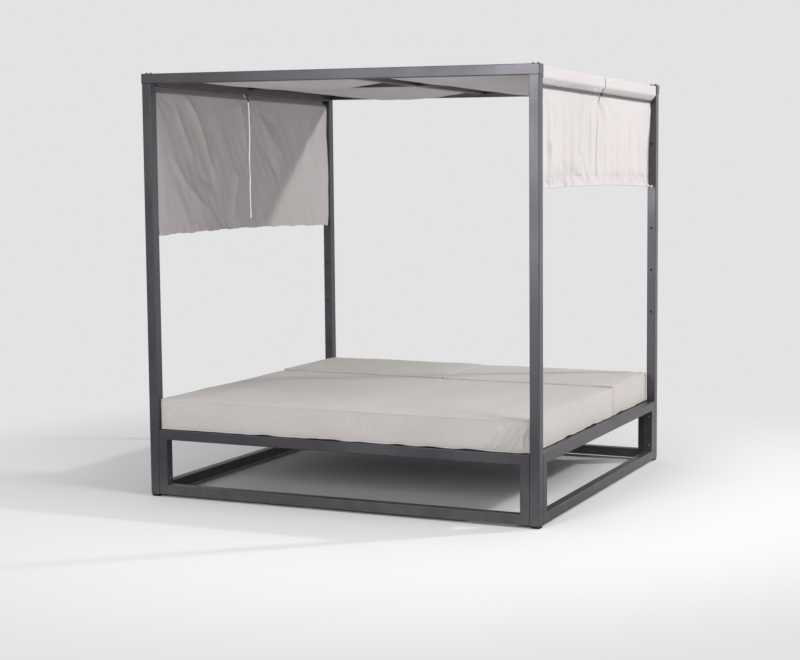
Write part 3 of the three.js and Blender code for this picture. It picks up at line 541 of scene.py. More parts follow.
@dataclass
class ButtonHeads:
    """Domed screw heads with a hexagon socket and a washer."""

    radius: float = 0.0068
    height: float = 0.0048
    washer: float = 0.0092
    washer_thickness: float = 0.0012
    socket: float = 0.0031

    def template(self) -> Object:
        """One head that stands on the origin and points up."""
        base = self.washer_thickness
        deep = base + self.height * 0.35
        profile = [(0.0, 0.0), (self.washer, 0.0), (self.washer, base * 0.8), (self.washer * 0.97, base),
                   (self.radius * 1.02, base), (self.radius, base + self.height * 0.25),
                   (self.radius * 0.86, base + self.height * 0.7), (self.radius * 0.6, base + self.height * 0.95),
                   (self.socket * 1.12, base + self.height), (self.socket, base + self.height * 0.97),
                   (self.socket, deep), (0.0, deep)]
        points, faces = turned(profile)
        for index, point in enumerate(points):
            if abs(Vector((point.x, point.y)).length - self.socket) < 1e-6:
                angle = math.atan2(point.y, point.x)
                sixth = (angle + math.pi / 6) % (math.pi / 3) - math.pi / 6
                points[index] = Vector((point.x / math.cos(sixth), point.y / math.cos(sixth), point.z)) * 0.92
        return mesh_object("button_head", points, faces)

    @staticmethod
    def tree(template: Object) -> Tree:
        """Builds the tree that puts the template on every point, along the attribute called aim."""
        w, start, put = instance_group("ButtonHeads", ("Size",))
        shape = w.add("GeometryNodeObjectInfo")
        shape.inputs["Object"].default_value = template
        aim = w.add("GeometryNodeInputNamedAttribute", {"Name": "aim"}, data_type="FLOAT_VECTOR")
        turn = w.add("FunctionNodeAlignRotationToVector", axis="Z")
        w.join((aim.outputs["Attribute"], turn.inputs["Vector"]), (start.outputs["Geometry"], put.inputs["Points"]),
               (shape.outputs["Geometry"], put.inputs["Instance"]), (turn.outputs[0], put.inputs["Rotation"]),
               (start.outputs["Size"], put.inputs["Scale"]))
        return w.tree

    def place(self, name: str, spots: Sequence[tuple[Point, Point]], size: float,
              material: Material) -> Object:
        """Places heads of one size and material at (place, direction) pairs, as one plain mesh."""
        template = self.template()
        piece = mesh_object(name, [place for place, _ in spots], [])
        aim = piece.data.attributes.new("aim", "FLOAT_VECTOR", "POINT")
        for index, (_, direction) in enumerate(spots):
            aim.data[index].vector = direction
        grown(piece, self.tree(template), {"Size": size, "Material": material})
        bpy.data.objects.remove(template, do_unlink=True)
        return piece


@dataclass
class HoleShadeCups(ButtonHeads):
    """Black cups of painted shade for the free holes of the posts, standing in for the shadow inside the open holes of
    the hollow tubes: a thin flange round a blind hole.
    """

    radius: float = 0.0040
    washer: float = 0.0068
    washer_thickness: float = 0.0006
    depth: float = 0.0045
    wall: float = 0.0006

    def template(self) -> Object:
        """One cup that stands on the origin and points up."""
        rim, floor = self.washer_thickness, -self.depth * 0.7
        outer = self.radius + self.wall
        profile = [(0.0, -self.depth), (outer, -self.depth), (outer, 0.0), (self.washer, 0.0),
                   (self.washer, rim * 0.6), (self.washer * 0.94, rim), (self.radius * 1.1, rim),
                   (self.radius, rim * 0.5), (self.radius, floor), (0.0, floor)]
        return mesh_object("hole_insert", *turned(profile))


# ---------------------------------------------------------------------------
# Sub-assemblies

CORNERS = ("front_left", "front_right", "rear_left", "rear_right")


@dataclass
class MetalFrame:
    """Posts, beams, bars, base frames and platform: the CAD solids with their coats, screw heads and the black cups of
    painted shade in the free holes of the posts.
    """

    bolt_rows: tuple[float, float] = (0.096, 0.264)
    bolt_inset: float = 0.0633
    side_bar_spots: tuple[float, ...] = (-0.82, -0.012, 0.82)
    hole_pitch: float = 0.24
    holes: int = 5
    tie_room: float = 0.01

    def dress(self) -> None:
        """Gives every CAD node that stays its finish."""
        slots = {row["node"]: row["material_slot"] for row in frame["record"]["subparts"]}
        for name, node in frame["nodes"].items():
            material = finish("grey_plastic" if name.startswith("beam_cap") else slots[name])
            for holder in node.material_slots:
                holder.material = material

    def hole_shade_cups(self) -> Object:
        """Makes the black cups of painted shade, standing in for the shadow inside the holes of the posts, in the
        holes that hold neither a rod nor a tie.
        """
        rod_low, rod_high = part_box("guide_rod_left")
        spots: list[tuple[Point, Point]] = []
        for corner in CORNERS:
            low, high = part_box(f"post_{corner}")
            tie_low, tie_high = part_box(f"curtain_tie_{corner}")
            inner, way = (high.y, 1.0) if corner.startswith("front") else (low.y, -1.0)
            for step in range(1, self.holes + 1):
                z = (rod_low.z + rod_high.z) / 2 - step * self.hole_pitch
                if not tie_low.z - self.tie_room < z < tie_high.z + self.tie_room:
                    spots.append((((low.x + high.x) / 2, inner, z), (0.0, way, 0.0)))
        # painted shade: black plastic cups paint the shadow that falls inside the open holes
        piece = HoleShadeCups().place("post_hole_inserts", spots, 1.0, finish("black_plastic"))
        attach(piece, Body.FRAME.value)
        return piece

    def heads(self) -> list[Object]:
        """Makes the screw heads on the beams, in the base frames and on the side bars."""
        names = [f"beam_bolt_{corner}_{letter}" for corner in CORNERS for letter in "ab"]
        beam_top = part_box("beam_front")[1].z
        top: list[tuple[Point, Point]] = []
        for low, high in map(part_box, names):
            top.append((((low.x + high.x) / 2, (low.y + high.y) / 2, beam_top), (0.0, 0.0, 1.0)))
        beam_heads = ButtonHeads().place("beam_screw_heads", top, 1.0, finish("bolt_steel"))
        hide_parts(*names)
        inside: list[tuple[Point, Point]] = []
        for name, axis in (("base_frame_front", 0), ("base_frame_rear", 0), ("base_frame_left", 1),
                           ("base_frame_right", 1)):
            low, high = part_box(name)
            for sign in (-1, 1):
                for height in self.bolt_rows:
                    spot, aim = [*((low + high) / 2)], [0.0, 0.0, 0.0]
                    spot[axis] += sign * ((high[axis] - low[axis]) / 2 - self.bolt_inset)
                    spot[2], aim[axis] = height, -sign
                    inside.append((tuple(spot), tuple(aim)))
        base_heads = ButtonHeads().place("base_screw_heads", inside, 1.15, finish("frame_paint"))
        sides: list[tuple[Point, Point]] = []
        for side in Side:
            low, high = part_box(f"side_bar_{side.name.lower()}")
            x = low.x if side is Side.RIGHT else high.x
            sides.extend(((x, y, (low.z + high.z) / 2), (-side.value, 0.0, 0.0)) for y in self.side_bar_spots)
        bar_heads = ButtonHeads().place("side_bar_screw_heads", sides, 0.75, finish("bolt_steel"))
        for piece, slot in ((beam_heads, "bolt_steel"), (base_heads, "frame_paint"), (bar_heads, "bolt_steel")):
            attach(piece, Body.FRAME.value)
        return [beam_heads, base_heads, bar_heads]


@dataclass(frozen=True)
class Fold:
    """A crease in a cloth: a narrow ridge along a bowed line."""

    start: tuple[float, float]
    end: tuple[float, float]
    height: float
    width: float
    bow: float = 0.0
    over: float = 0.12
    reach: float = 5.0

    def rise(self, across: float, up: float) -> float:
        """How far the cloth stands up at a point across it and up it, which is 0 away from the crease."""
        run, climb = self.end[0] - self.start[0], self.end[1] - self.start[1]
        length = math.hypot(run, climb)
        share = ((across - self.start[0]) * run + (up - self.start[1]) * climb) / length ** 2
        before, after = share + self.over, 1 + self.over - share
        if before <= 0 or after <= 0:
            return 0.0
        away = ((across - self.start[0]) * climb - (up - self.start[1]) * run) / length
        away -= self.bow * 4 * share * (1 - share)
        near = abs(away) / self.width
        if near > self.reach:
            return 0.0
        return self.height * math.exp(-near) * smooth(before * 3) * smooth(after * 3)


def folded(folds: Iterable[Fold], across: float, up: float) -> float:
    """The rise of all the folds together at one point."""
    return sum(fold.rise(across, up) for fold in folds)


LEFT_FOLDS = (
    Fold((-0.705, 2.011), (-0.539, 1.740), 0.0062, 0.022, 0.012),
    Fold((-0.618, 2.067), (-0.355, 1.633), 0.0075, 0.024, -0.030),
    Fold((-0.763, 1.759), (-0.433, 1.456), 0.0062, 0.020, 0.018),
    Fold((-0.709, 1.661), (-0.565, 1.416), -0.0040, 0.013),
    Fold((-0.496, 1.661), (-0.390, 1.585), -0.0052, 0.012),
    Fold((-0.430, 1.520), (-0.267, 1.353), -0.0058, 0.013),
    Fold((-0.093, 2.064), (-0.026, 1.787), 0.0050, 0.014),
    Fold((-0.121, 1.677), (-0.191, 1.400), 0.0060, 0.026),
    Fold((0.077, 2.043), (0.338, 1.742), 0.0050, 0.018, 0.012),
    Fold((0.143, 1.809), (0.279, 1.646), -0.0042, 0.011),
    Fold((0.113, 2.008), (0.273, 1.950), -0.0044, 0.013),
    Fold((0.255, 1.906), (0.339, 1.777), 0.0044, 0.014),
    Fold((0.261, 1.588), (0.259, 1.355), -0.0040, 0.010),
    Fold((0.520, 1.560), (0.640, 1.380), 0.0032, 0.014),
    Fold((-0.290, 1.394), (-0.256, 1.344), -0.0052, 0.010),
    Fold((-0.235, 1.399), (-0.193, 1.342), -0.0056, 0.010),
    Fold((-0.400, 1.950), (-0.360, 1.550), -0.0110, 0.055, 0.010),
    Fold((-0.830, 1.640), (-0.790, 1.380), 0.0060, 0.030),
)
RIGHT_FOLDS = (
    Fold((-0.730, 1.842), (-0.642, 1.676), 0.0040, 0.016),
    Fold((-0.626, 1.771), (-0.539, 1.608), 0.0040, 0.015),
    Fold((-0.539, 1.781), (-0.402, 1.631), 0.0036, 0.015),
    Fold((-0.425, 1.720), (-0.323, 1.615), -0.0042, 0.013),
    Fold((-0.308, 1.690), (-0.226, 1.605), -0.0062, 0.012),
    Fold((-0.249, 1.776), (-0.173, 1.656), -0.0040, 0.014),
    Fold((0.210, 1.760), (0.290, 1.620), 0.0034, 0.016),
    Fold((0.400, 1.724), (0.437, 1.620), -0.0038, 0.014),
    Fold((0.560, 1.740), (0.620, 1.610), 0.0034, 0.016),
    Fold((0.730, 1.720), (0.800, 1.600), 0.0034, 0.015),
    Fold((-0.265, 2.060), (-0.264, 1.680), -0.0070, 0.032),
    Fold((-0.144, 2.060), (-0.142, 1.680), -0.0046, 0.020),
    Fold((0.030, 2.060), (0.034, 1.680), -0.0070, 0.030),
    Fold((-0.860, 2.060), (-0.861, 1.660), -0.0040, 0.024),
    Fold((-0.030, 2.070), (0.040, 1.930), -0.0044, 0.012),
    Fold((-0.110, 2.070), (-0.150, 1.900), -0.0036, 0.012),
)
HEM_PUCKERS = tuple(Fold((-0.862 + 0.0575 * i + 0.009 * math.sin(5.0 * i), 1.658 - 0.010 * math.sin(3.0 * i)),
                         (-0.826 + 0.0575 * i + 0.009 * math.sin(5.0 * i), 1.600),
                         -0.0062 - 0.0020 * math.sin(7.0 * i), 0.0095) for i in range(30))
FRONT_FOLDS = (
    Fold((0.974, 0.500), (0.887, 0.372), -0.0150, 0.008, -0.010),
    Fold((1.002, 0.498), (0.924, 0.364), 0.0150, 0.008, -0.008),
    Fold((0.930, 0.490), (0.846, 0.368), 0.0135, 0.010, -0.010),
    Fold((0.872, 0.466), (0.796, 0.366), 0.0115, 0.010, -0.008),
    Fold((0.986, 0.505), (0.992, 0.362), -0.0170, 0.007),
    Fold((1.010, 0.475), (0.962, 0.368), -0.0095, 0.009),
    Fold((0.041, 0.486), (0.068, 0.419), 0.0022, 0.010),
    Fold((0.124, 0.476), (0.143, 0.423), 0.0034, 0.010),
    Fold((0.190, 0.490), (0.211, 0.432), 0.0034, 0.010),
    Fold((0.313, 0.479), (0.325, 0.394), 0.0034, 0.010),
    Fold((0.390, 0.486), (0.406, 0.429), 0.0026, 0.010),
    Fold((0.497, 0.478), (0.512, 0.445), 0.0024, 0.010),
    Fold((-0.560, 0.470), (-0.530, 0.400), 0.0018, 0.014),
)


@dataclass(frozen=True)
class Station:
    """One line across the depth of the sheet: where it is and how it hangs."""

    x: float
    z: float
    drop: float = 0.0
    sag: float = 0.0
    side: int = 0
    along: float = 0.0
    slit: bool = False
    face: float = 0.0


@dataclass(frozen=True)
class Hang:
    """How the cloth of one side hangs.

    Each row of waves has its height, its number along the depth, a shift in turns, the turns that it makes on the way
    down, and a phase. The creases have a slant, their numbers across and along the cloth, and the height of small
    ones. The folds come with their scale. Fullness scales the waves, bulge the way in, ripple the edge of the hem.
    """

    hem: float
    seed: float
    waves: tuple[tuple[float, float, float, float, float], ...]
    slant: float
    across: float
    along: float
    small: float
    folds: tuple[Fold, ...]
    hem_folds: tuple[Fold, ...]
    fold_scale: float
    fullness: float
    bulge: float
    bank: float
    ripple: float


HANGS = {
    Side.LEFT.value: Hang(
        1.345, 3.7, ((0.8, 1.35, 0.10, 0.30, 3.7), (0.35, 2.9, 0.0, 0.35, 7.77)), slant=0.50, across=9.0, along=1.5,
        small=0.0028, folds=LEFT_FOLDS, hem_folds=(), fold_scale=2.8, fullness=1.25, bulge=0.5, bank=0.0, ripple=1.0),
    Side.RIGHT.value: Hang(
        1.588, 11.3, ((0.6, 1.2, 0.0, -0.10, 11.3), (0.30, 7.5, 0.0, -0.12, 11.3), (0.20, 15.0, 0.0, 0.10, 22.6)),
        slant=0.08, across=17.0, along=1.1, small=0.0018, folds=RIGHT_FOLDS, hem_folds=HEM_PUCKERS, fold_scale=1.8,
        fullness=1.0, bulge=1.2, bank=0.006, ripple=0.3),
}
GATHERED = ((-0.84, 0.13, 1.0), (-0.60, 0.14, 0.55), (-0.07, 0.13, 1.0), (0.8, 0.12, 0.3))


def wobble(x: float, y: float, z: float) -> float:
    """Smooth noise at a place."""
    return noise.noise(Vector((x, y, z)))


@dataclass
class Canopy:
    """One continuous shade sheet: two curtains, the sides over the guide rods and a roof that sags in four bays."""

    hem: float = 0.054
    gap: float = 0.0018
    sag: float = 0.050
    bar_half: float = 0.030
    edge_gap: float = 0.006
    pull: float = 0.006
    columns: int = 104
    roof_steps: int = 34
    step: float = 0.015
    hem_steps: tuple[float, ...] = (0.0, 0.004, 0.012, 0.026, 0.040, 0.050, 0.054, 0.058, 0.068)
    corner: float = 0.003
    cloth: float = 0.0013
    hem_cloth: float = 0.0024
    side_hem: float = 0.022
    slit_middle: float = 0.0062
    slit_right: float = 0.0005
    slit_hanger: float = 0.0070
    lap: float = 0.004
    fold: float = 0.0085
    crease: float = 0.0055
    seam_rise: float = 0.0016
    arch: float = 0.014
    rod_height: float = 2.07
    slope_middle: float = 2.09
    curtain_middle: float = 1.7
    gather_height: float = 0.0150
    gather_pitch: float = 0.058

    def side_stations(self, side: Side) -> list[Station]:
        """Stations from the hem of one side up to the inner edge of its side bar."""
        name = side.name.lower()
        rod_low, rod_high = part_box(f"guide_rod_{name}")
        bar_low, bar_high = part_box(f"side_bar_{name}")
        centre = Vector((abs(rod_low.x + rod_high.x) / 2, (rod_low.z + rod_high.z) / 2))
        wrap = (rod_high.z - rod_low.z) / 2 + self.gap
        outer = max(abs(bar_low.x), abs(bar_high.x)) + self.gap
        inner = min(abs(bar_low.x), abs(bar_high.x))
        hem = HANGS[side.value].hem
        heights = [hem + step for step in self.hem_steps]
        while heights[-1] + 1.4 * self.step < centre.y:
            heights.append(heights[-1] + self.step)
        line = [(centre.x - wrap, z, (centre.y - z) / (centre.y - hem), 0.0) for z in heights]
        bend = Vector((outer, bar_low.z))
        away = math.atan2(bend.y - centre.y, bend.x - centre.x)
        leave = away + math.acos(wrap / (bend - centre).length)
        for index in range(5):
            angle = math.pi + (leave - math.pi) * index / 4
            line.append((centre.x + wrap * math.cos(angle), centre.y + wrap * math.sin(angle), 0.0, 0.0))
        last = Vector(line[-1][:2])
        top = bar_high.z - self.corner
        line.extend((*last.lerp(bend, index / 5), 0.0, index / 5) for index in range(1, 6))
        line.extend((outer, bend.y + (top - bend.y) * index / 5, 0.0, 1.0) for index in range(1, 6))
        for index in range(1, 5):
            angle = math.pi / 2 * index / 4
            reach = self.corner + self.gap
            line.append((outer - reach + reach * math.cos(angle), top + reach * math.sin(angle), 0.0, 1.0))
        line.append((inner + 0.004, bar_high.z + self.gap, 0.0, 0.0))
        cut = hem + self.hem
        return [Station(side.value * x, z, drop, side=side.value, face=face,
                        slit=z > cut - 1e-6 and (z < bar_high.z - 0.001 or drop > 0))
                for x, z, drop, face in line]

    def stations(self) -> list[Station]:
        """All stations from the left hem to the right hem, with their distance along the cloth."""
        left = self.side_stations(Side.LEFT)
        right = list(reversed(self.side_stations(Side.RIGHT)))
        low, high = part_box("centre_bar")
        z = high.z + self.gap
        roof: list[Station] = []
        for first, start, stop in ((1, left[-1].x, low.x), (0, high.x, right[0].x)):
            for index in range(first, self.roof_steps + first):
                share = index / self.roof_steps
                roof.append(Station(start + (stop - start) * share, z, 0.0, 1 - (2 * share - 1) ** 2))
        line = [*left, *roof, *right]
        found = line[:1]
        for before, here in zip(line, line[1:]):
            along = found[-1].along + math.hypot(here.x - before.x, here.z - before.z)
            found.append(replace(here, along=along))
        return found

    @staticmethod
    def lapped(station: Station) -> float:
        """How far the two edges of a closed slit lie over each other, from 0 to 1."""
        return smooth((2.0 - station.z) / 0.06) if station.side > 0 and station.drop > 0 else 0.0

    def slit_half(self, station: Station) -> float:
        """Half the width of the slit at a station."""
        if station.drop > 0:
            near = math.exp(-max(0.0, self.rod_height - station.z) / 0.05)
            if station.side > 0:
                closed = self.slit_right - (self.slit_right + self.lap) * self.lapped(station)
                return closed + (self.slit_hanger - self.slit_right) * near
            above = station.z - HANGS[station.side].hem - self.hem
            return self.slit_middle * smooth(0.35 + above / 0.012)
        return self.slit_hanger * (1 - 0.55 * station.face)

    @staticmethod
    def creases(across: float, along: float, seed: float) -> float:
        """Soft folds with narrow crests, about -1 to 1, that run where along changes slowly."""
        value = wobble(across, along, seed)
        return 1.6 * math.copysign(abs(value) ** 0.8, value)

    def gathers(self, y: float, z: float) -> float:
        """Short slanted folds on the slope above the right rod, at its front end and round its hanger."""
        place = y - 1.5 * (z - self.slope_middle) + 0.014 * wobble(y * 8.0, 2.0, 4.0)
        crest = math.sin(2 * math.pi * place / self.gather_pitch) * (1 + 0.9 * wobble(y * 17.0, 5.0, 1.0))
        amount = sum(share * math.exp(-((y - spot) / width) ** 2) for spot, width, share in GATHERED)
        return self.gather_height * crest * amount

    def pulls(self, station: Station, y: float, reach: float) -> float:
        """Creases that spread from the hanger and from the ends of the rod."""
        rise, inset = station.z - self.rod_height, reach - abs(y)
        distance, corner = math.hypot(y, rise), math.hypot(inset, rise)
        around, swing = math.atan2(rise, abs(y) + 1e-6), math.atan2(rise, inset + 1e-6)
        middle = math.exp(-distance / 0.16) * math.cos(11 * around + HANGS[station.side].seed) * 0.0060
        end = math.exp(-corner / 0.15) * math.cos(12 * swing + 1.0) * 0.0048 * (1 - station.drop)
        loose = 1.0 if rise < -0.02 else 0.6 * min(1.0, abs(rise) / 0.02)
        return (middle * smooth(distance / 0.03) + end * smooth(corner / 0.03)) * loose

    def slope_lift(self, station: Station, y: float, reach: float) -> Vector:
        """How far the cloth between a rod and the top of its side bar stands off its plain shape."""
        inward = -abs(self.pulls(station, y, reach)) * (1 if station.face < 1 else 0.5)
        if station.side > 0:
            inward -= self.gathers(y, station.z) * smooth(station.face / 0.25) * (1 - station.face)
        return Vector((-station.side * inward, 0.0, 0.0))

    def curtain_lift(self, station: Station, y: float, reach: float) -> Vector:
        """How far a curtain stands off its plain shape: waves, creases, folds, the hem's seam and puckers."""
        hang, drop, share = HANGS[station.side], station.drop, y / reach
        full, begun = smooth(drop * 1.5), smooth(drop * 3.0)
        edge = 1 - 0.65 * smooth((abs(share) - 0.86) / 0.14)
        calm = 1 - 0.75 * math.exp(-(y / 0.07) ** 2)
        waves = sum(height * math.sin(2 * math.pi * (share * count + shift + turns * drop) + phase)
                    for height, count, shift, turns, phase in hang.waves)
        total = self.fold * full * (hang.bulge + waves * edge * calm * hang.fullness)
        across, along = (y + hang.slant * (station.z - self.curtain_middle)) * hang.across, station.z * hang.along
        total += self.creases(across, along, hang.seed) * self.crease * begun * calm
        total += self.creases(across * 2.3, along * 2.0, hang.seed + 5.0) * hang.small * begun
        total += self.pulls(station, y, reach) + math.exp(-abs(y) / 0.05) * hang.bank * full
        folds = (*hang.folds, *(hang.hem_folds if drop > 0.82 else ()))
        total -= station.side * folded(folds, y, station.z) * hang.fold_scale
        seam = abs(station.z - hang.hem - self.hem)
        total += station.side * self.seam_rise * max(0.0, 1 - seam / 0.0041)
        if drop > 0.9:
            total += 0.0022 * math.sin(2 * math.pi * y / 0.041 + 2 * math.sin(y * 9)) * (drop - 0.9) / 0.1
            total += wobble(y * 62, station.z * 9, hang.seed) * 0.0030 * smooth((drop - 0.9) / 0.06)
        arch = math.cos(math.pi / 2 * share) * self.arch * drop ** 3
        ripple = 0.0026 * math.sin(2 * math.pi * y / 0.21 + hang.seed) * drop ** 4
        ripple += 0.0014 * math.sin(2 * math.pi * y / 0.068 + 3 * math.sin(y * 7)) * drop ** 12
        return Vector((-station.side * total, 0.0, arch + ripple * hang.ripple))

    def roof_lift(self, station: Station, y: float, reach: float) -> Vector:
        """How far the roof sags between its bars."""
        share = y / reach
        ramp = smooth(max(0.0, abs(y) - self.bar_half) / 0.19)
        if y < 0:
            ramp *= 1 - 0.36 * smooth((-share - 0.72) / 0.28)
        uneven = wobble(station.x * 2.6, y * 2.2, 5.1) * 0.006
        uneven += wobble(station.x * 9.0 + y * 6.0, y * 4.0 - station.x * 5.0, 1.7) * 0.0022
        uneven += math.sin(2 * math.pi * station.x / 0.17) * 0.0012 * smooth((abs(share) - 0.7) / 0.3)
        return Vector((0.0, 0.0, -ramp * (self.sag * station.sag + uneven * min(1.0, 2 * station.sag))))

    def lift(self, station: Station, y: float, reach: float) -> Vector:
        """How far the cloth stands off its plain shape at a depth, where it reaches so far to both sides."""
        if station.side and station.drop > 0:
            return self.curtain_lift(station, y, reach)
        if station.side and station.face > 0:
            return self.slope_lift(station, y, reach)
        return self.roof_lift(station, y, reach) if station.sag > 0 else Vector()

    def build(self) -> None:
        """Builds the sheet and its stitches."""
        stations = self.stations()
        reach_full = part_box("centre_bar")[1].y - self.edge_gap
        points: list[Vector] = []
        flat: list[tuple[float, float]] = []
        rows: list[list[int]] = []
        for station in stations:
            reach = reach_full - self.pull * station.drop
            half = self.slit_half(station) if station.slit else 0.0
            row: list[int] = []
            for sign in (-1, 1):
                for index in range(self.columns + 1)[::sign]:
                    if index == 0 and sign > 0 and not station.slit:
                        row.append(row[-1])
                        continue
                    share = index / self.columns
                    y = sign * (half * (1 - share) + reach * share)
                    row.append(len(points))
                    over = 0.0010 * sign * self.lapped(station) * math.exp(-(y / 0.03) ** 2)
                    points.append(Vector((station.x + over, y, station.z)) + self.lift(station, y, reach))
                    flat.append((station.along, y))
            rows.append(row)
        faces = [(here[column], there[column], there[column + 1], here[column + 1])
                 for here, there in zip(rows, rows[1:]) for column in range(len(here) - 1) if column != self.columns]
        piece = mesh_object("canopy_cloth", points, faces, finish("shade_fabric"))
        layer = piece.data.uv_layers.new(name="Cloth")
        for loop in piece.data.loops:
            layer.data[loop.index].uv = flat[loop.vertex_index]
        total = stations[-1].along
        thick = piece.vertex_groups.new(name="hem")
        for index, (along, y) in enumerate(flat):
            banded = min(along, total - along) < self.hem + 0.004 or reach_full - abs(y) < self.side_hem
            thick.add([index], 1.0 if banded else self.cloth / self.hem_cloth, "REPLACE")
        solid = piece.modifiers.new("Thickness", "SOLIDIFY")
        solid.thickness = self.hem_cloth
        solid.offset = 0.0
        solid.vertex_group = "hem"
        solid.use_even_offset = False
        stitches = Stitching().sew("canopy_stitches", self.seam_rows(points, rows, stations, faces), finish("thread"))
        for item in (piece, stitches):
            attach(item, Body.FRAME.value)
        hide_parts("canopy_sheet")
        LOG.info("canopy sheet %.3f by %.3f m, %d points", 2 * reach_full, total, len(points))

    def seam_rows(self, points: Sequence[Vector], rows: Sequence[Sequence[int]], stations: Sequence[Station],
                  faces: Sequence[Sequence[int]]) -> list[list[Vector]]:
        """Lines on both faces of the cloth where it is sewn."""
        normals = [Vector() for _ in points]
        for face in faces:
            a, b, c, d = (points[i] for i in face)
            for index in face:
                normals[index] += (c - a).cross(d - b)
        total = stations[-1].along
        paths: list[list[int]] = []
        for row, here, ahead in zip(rows, stations, stations[1:]):
            if any(here.along <= place + 1e-4 < ahead.along for place in (self.hem, total - self.hem)):
                paths.append(list(dict.fromkeys(row)))
        for column in (1, 2 * self.columns):
            paths.append([row[column] for row in rows])
        for side in Side:
            for column in (self.columns - 1, self.columns + 2):
                paths.append([row[column] for row, s in zip(rows, stations) if s.slit and s.side == side.value])
        return [[points[i] + normals[i].normalized() * (face * self.hem_cloth * 0.5) for i in path]
                for path in paths for face in (-1, 1)]


@dataclass
class Cushion:
    """A boxed cushion: a sewn cover that is filled, with creases where it is loose and a fine welt along its seams."""

    name: str
    node: str
    body: Body
    material: str
    seed: float
    height: float = 0.157
    fill: float = 0.85
    corner: float = 0.011
    shrink: float = 0.001
    spacing: float = 0.015
    cap: float = 0.006
    side_cap: float = 0.002
    pinned: float = 0.0049
    pressure: float = 2.0
    shrinking: float = -0.012
    frames: int = 16
    welt: float = 0.0021
    seams: tuple[float, float] = (0.004, 0.003)
    wall: float = 0.03
    pucker: float = 0.0016
    crown: float = 0.002
    hollow: float = 0.0016
    hem_lift: float = 0.013
    groove: float = 0.0
    slack: tuple[tuple[float, float, float, float], ...] = ()
    folds: tuple[Fold, ...] = ()

    def limits(self) -> tuple[Vector, Vector]:
        """Low and high corner of the cover before it is filled."""
        low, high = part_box(self.node)
        low = low + Vector((self.shrink, self.shrink, 0.0))
        return low, Vector((high.x - self.shrink, high.y - self.shrink, low.z + self.height))

    def cuts(self, low: float, high: float) -> list[float]:
        """Places along one side of the cover, close together near its ends."""
        edge = (0.0, 0.004, 0.011, 0.020, 0.030)
        near, far = [low + step for step in edge], [high - step for step in reversed(edge)]
        count = max(1, round((far[0] - near[-1]) / self.spacing))
        between = [near[-1] + (far[0] - near[-1]) * step / count for step in range(1, count)]
        return [*near, *between, *far]

    def blank(self) -> Object:
        """The cover before it is filled: a box of even quads with rounded upright corners."""
        low, high = self.limits()
        middle, half = (low + high) / 2, (high - low) / 2
        lines = [self.cuts(low[axis], high[axis]) for axis in range(3)]
        last = [len(line) - 1 for line in lines]
        points: list[Vector] = []
        known: dict[tuple[int, ...], int] = {}
        faces: list[list[int]] = []

        def corner_of(key: tuple[int, ...]) -> int:
            """The number of the point at a place of the grid, made when it is first asked for."""
            if key not in known:
                spot = Vector((lines[0][key[0]], lines[1][key[1]], lines[2][key[2]]))
                over = [abs(spot[axis] - middle[axis]) - half[axis] + self.corner for axis in (0, 1)]
                if min(over) > 0:
                    scale = max(over) / math.hypot(*over)
                    for axis in (0, 1):
                        reach = half[axis] - self.corner + over[axis] * scale
                        spot[axis] = middle[axis] + math.copysign(reach, spot[axis] - middle[axis])
                known[key] = len(points)
                points.append(spot)
            return known[key]

        for axis in range(3):
            across, up = (axis + 1) % 3, (axis + 2) % 3
            for side in (0, last[axis]):
                for i in range(last[across]):
                    for j in range(last[up]):
                        ring = [(i, j), (i + 1, j), (i + 1, j + 1), (i, j + 1)]
                        face: list[int] = []
                        for first, second in (ring if side else reversed(ring)):
                            key = [0, 0, 0]
                            key[axis], key[across], key[up] = side, first, second
                            face.append(corner_of(tuple(key)))
                        faces.append(face)
        return mesh_object(self.name, points, faces)

    def inflate(self, piece: Object) -> None:
        """Fills the cover by a cloth simulation that holds its seams, and caps how far each point moves."""
        low, high = self.limits()
        before = [v.co.copy() for v in piece.data.vertices]
        held: list[int] = []
        for index, spot in enumerate(before):
            wall = min(spot.x - low.x, high.x - spot.x, spot.y - low.y, high.y - spot.y)
            if spot.z < low.z + 1e-4 or (spot.z > high.z - 1e-4 and wall < self.pinned):
                held.append(index)
        seams = piece.vertex_groups.new(name="seams")
        seams.add(held, 1.0, "REPLACE")
        cloth = piece.modifiers.new("Cloth", "CLOTH")
        settings = cloth.settings
        settings.use_pressure = True
        settings.uniform_pressure_force = self.pressure
        settings.shrink_min = self.shrinking
        settings.vertex_group_mass = seams.name
        settings.effector_weights.gravity = 0.0
        settings.quality = 4
        cloth.point_cache.frame_start = 1
        cloth.point_cache.frame_end = self.frames
        for number in range(1, self.frames + 1):
            bpy.context.scene.frame_set(number)
        settle(piece)
        most = [0.0, 0.0]
        for vertex, start in zip(piece.data.vertices, before):
            move = vertex.co - start
            level = math.hypot(move.x, move.y)
            most = [max(most[0], level), max(most[1], abs(move.z))]
            held_level = self.side_cap * math.tanh(level / self.side_cap) / max(level, 1e-9)
            vertex.co = start + Vector((move.x * held_level, move.y * held_level,
                                        self.cap * math.tanh(move.z / self.cap)))
        LOG.info("%s: the filling moved the cover by %.4f and %.4f m before the cap", self.name, *most)
        bpy.context.scene.frame_set(1)

    def seam_path(self, height: float) -> list[Vector]:
        """The line of a seam: a rounded rectangle at one height."""
        low, high = self.limits()
        middle, half = (low + high) / 2, (high - low) / 2
        corners = [Vector((middle.x + sx * (half.x - self.corner), middle.y + sy * (half.y - self.corner), height))
                   for sx, sy in ((1, 1), (-1, 1), (-1, -1), (1, -1))]

        def spot(number: int, turn: float) -> Vector:
            """A point on the arc round one corner."""
            angle = math.pi / 2 * turn
            return corners[number % 4] + Vector((math.cos(angle), math.sin(angle), 0.0)) * self.corner

        path: list[Vector] = []
        for number in range(4):
            path.extend(spot(number, number + step / 6) for step in range(7))
            start, stop = path[-1], spot(number + 1, number + 1)
            steps = max(2, round((stop - start).length / 0.010))
            path.extend(start.lerp(stop, step / steps) for step in range(1, steps))
        return path

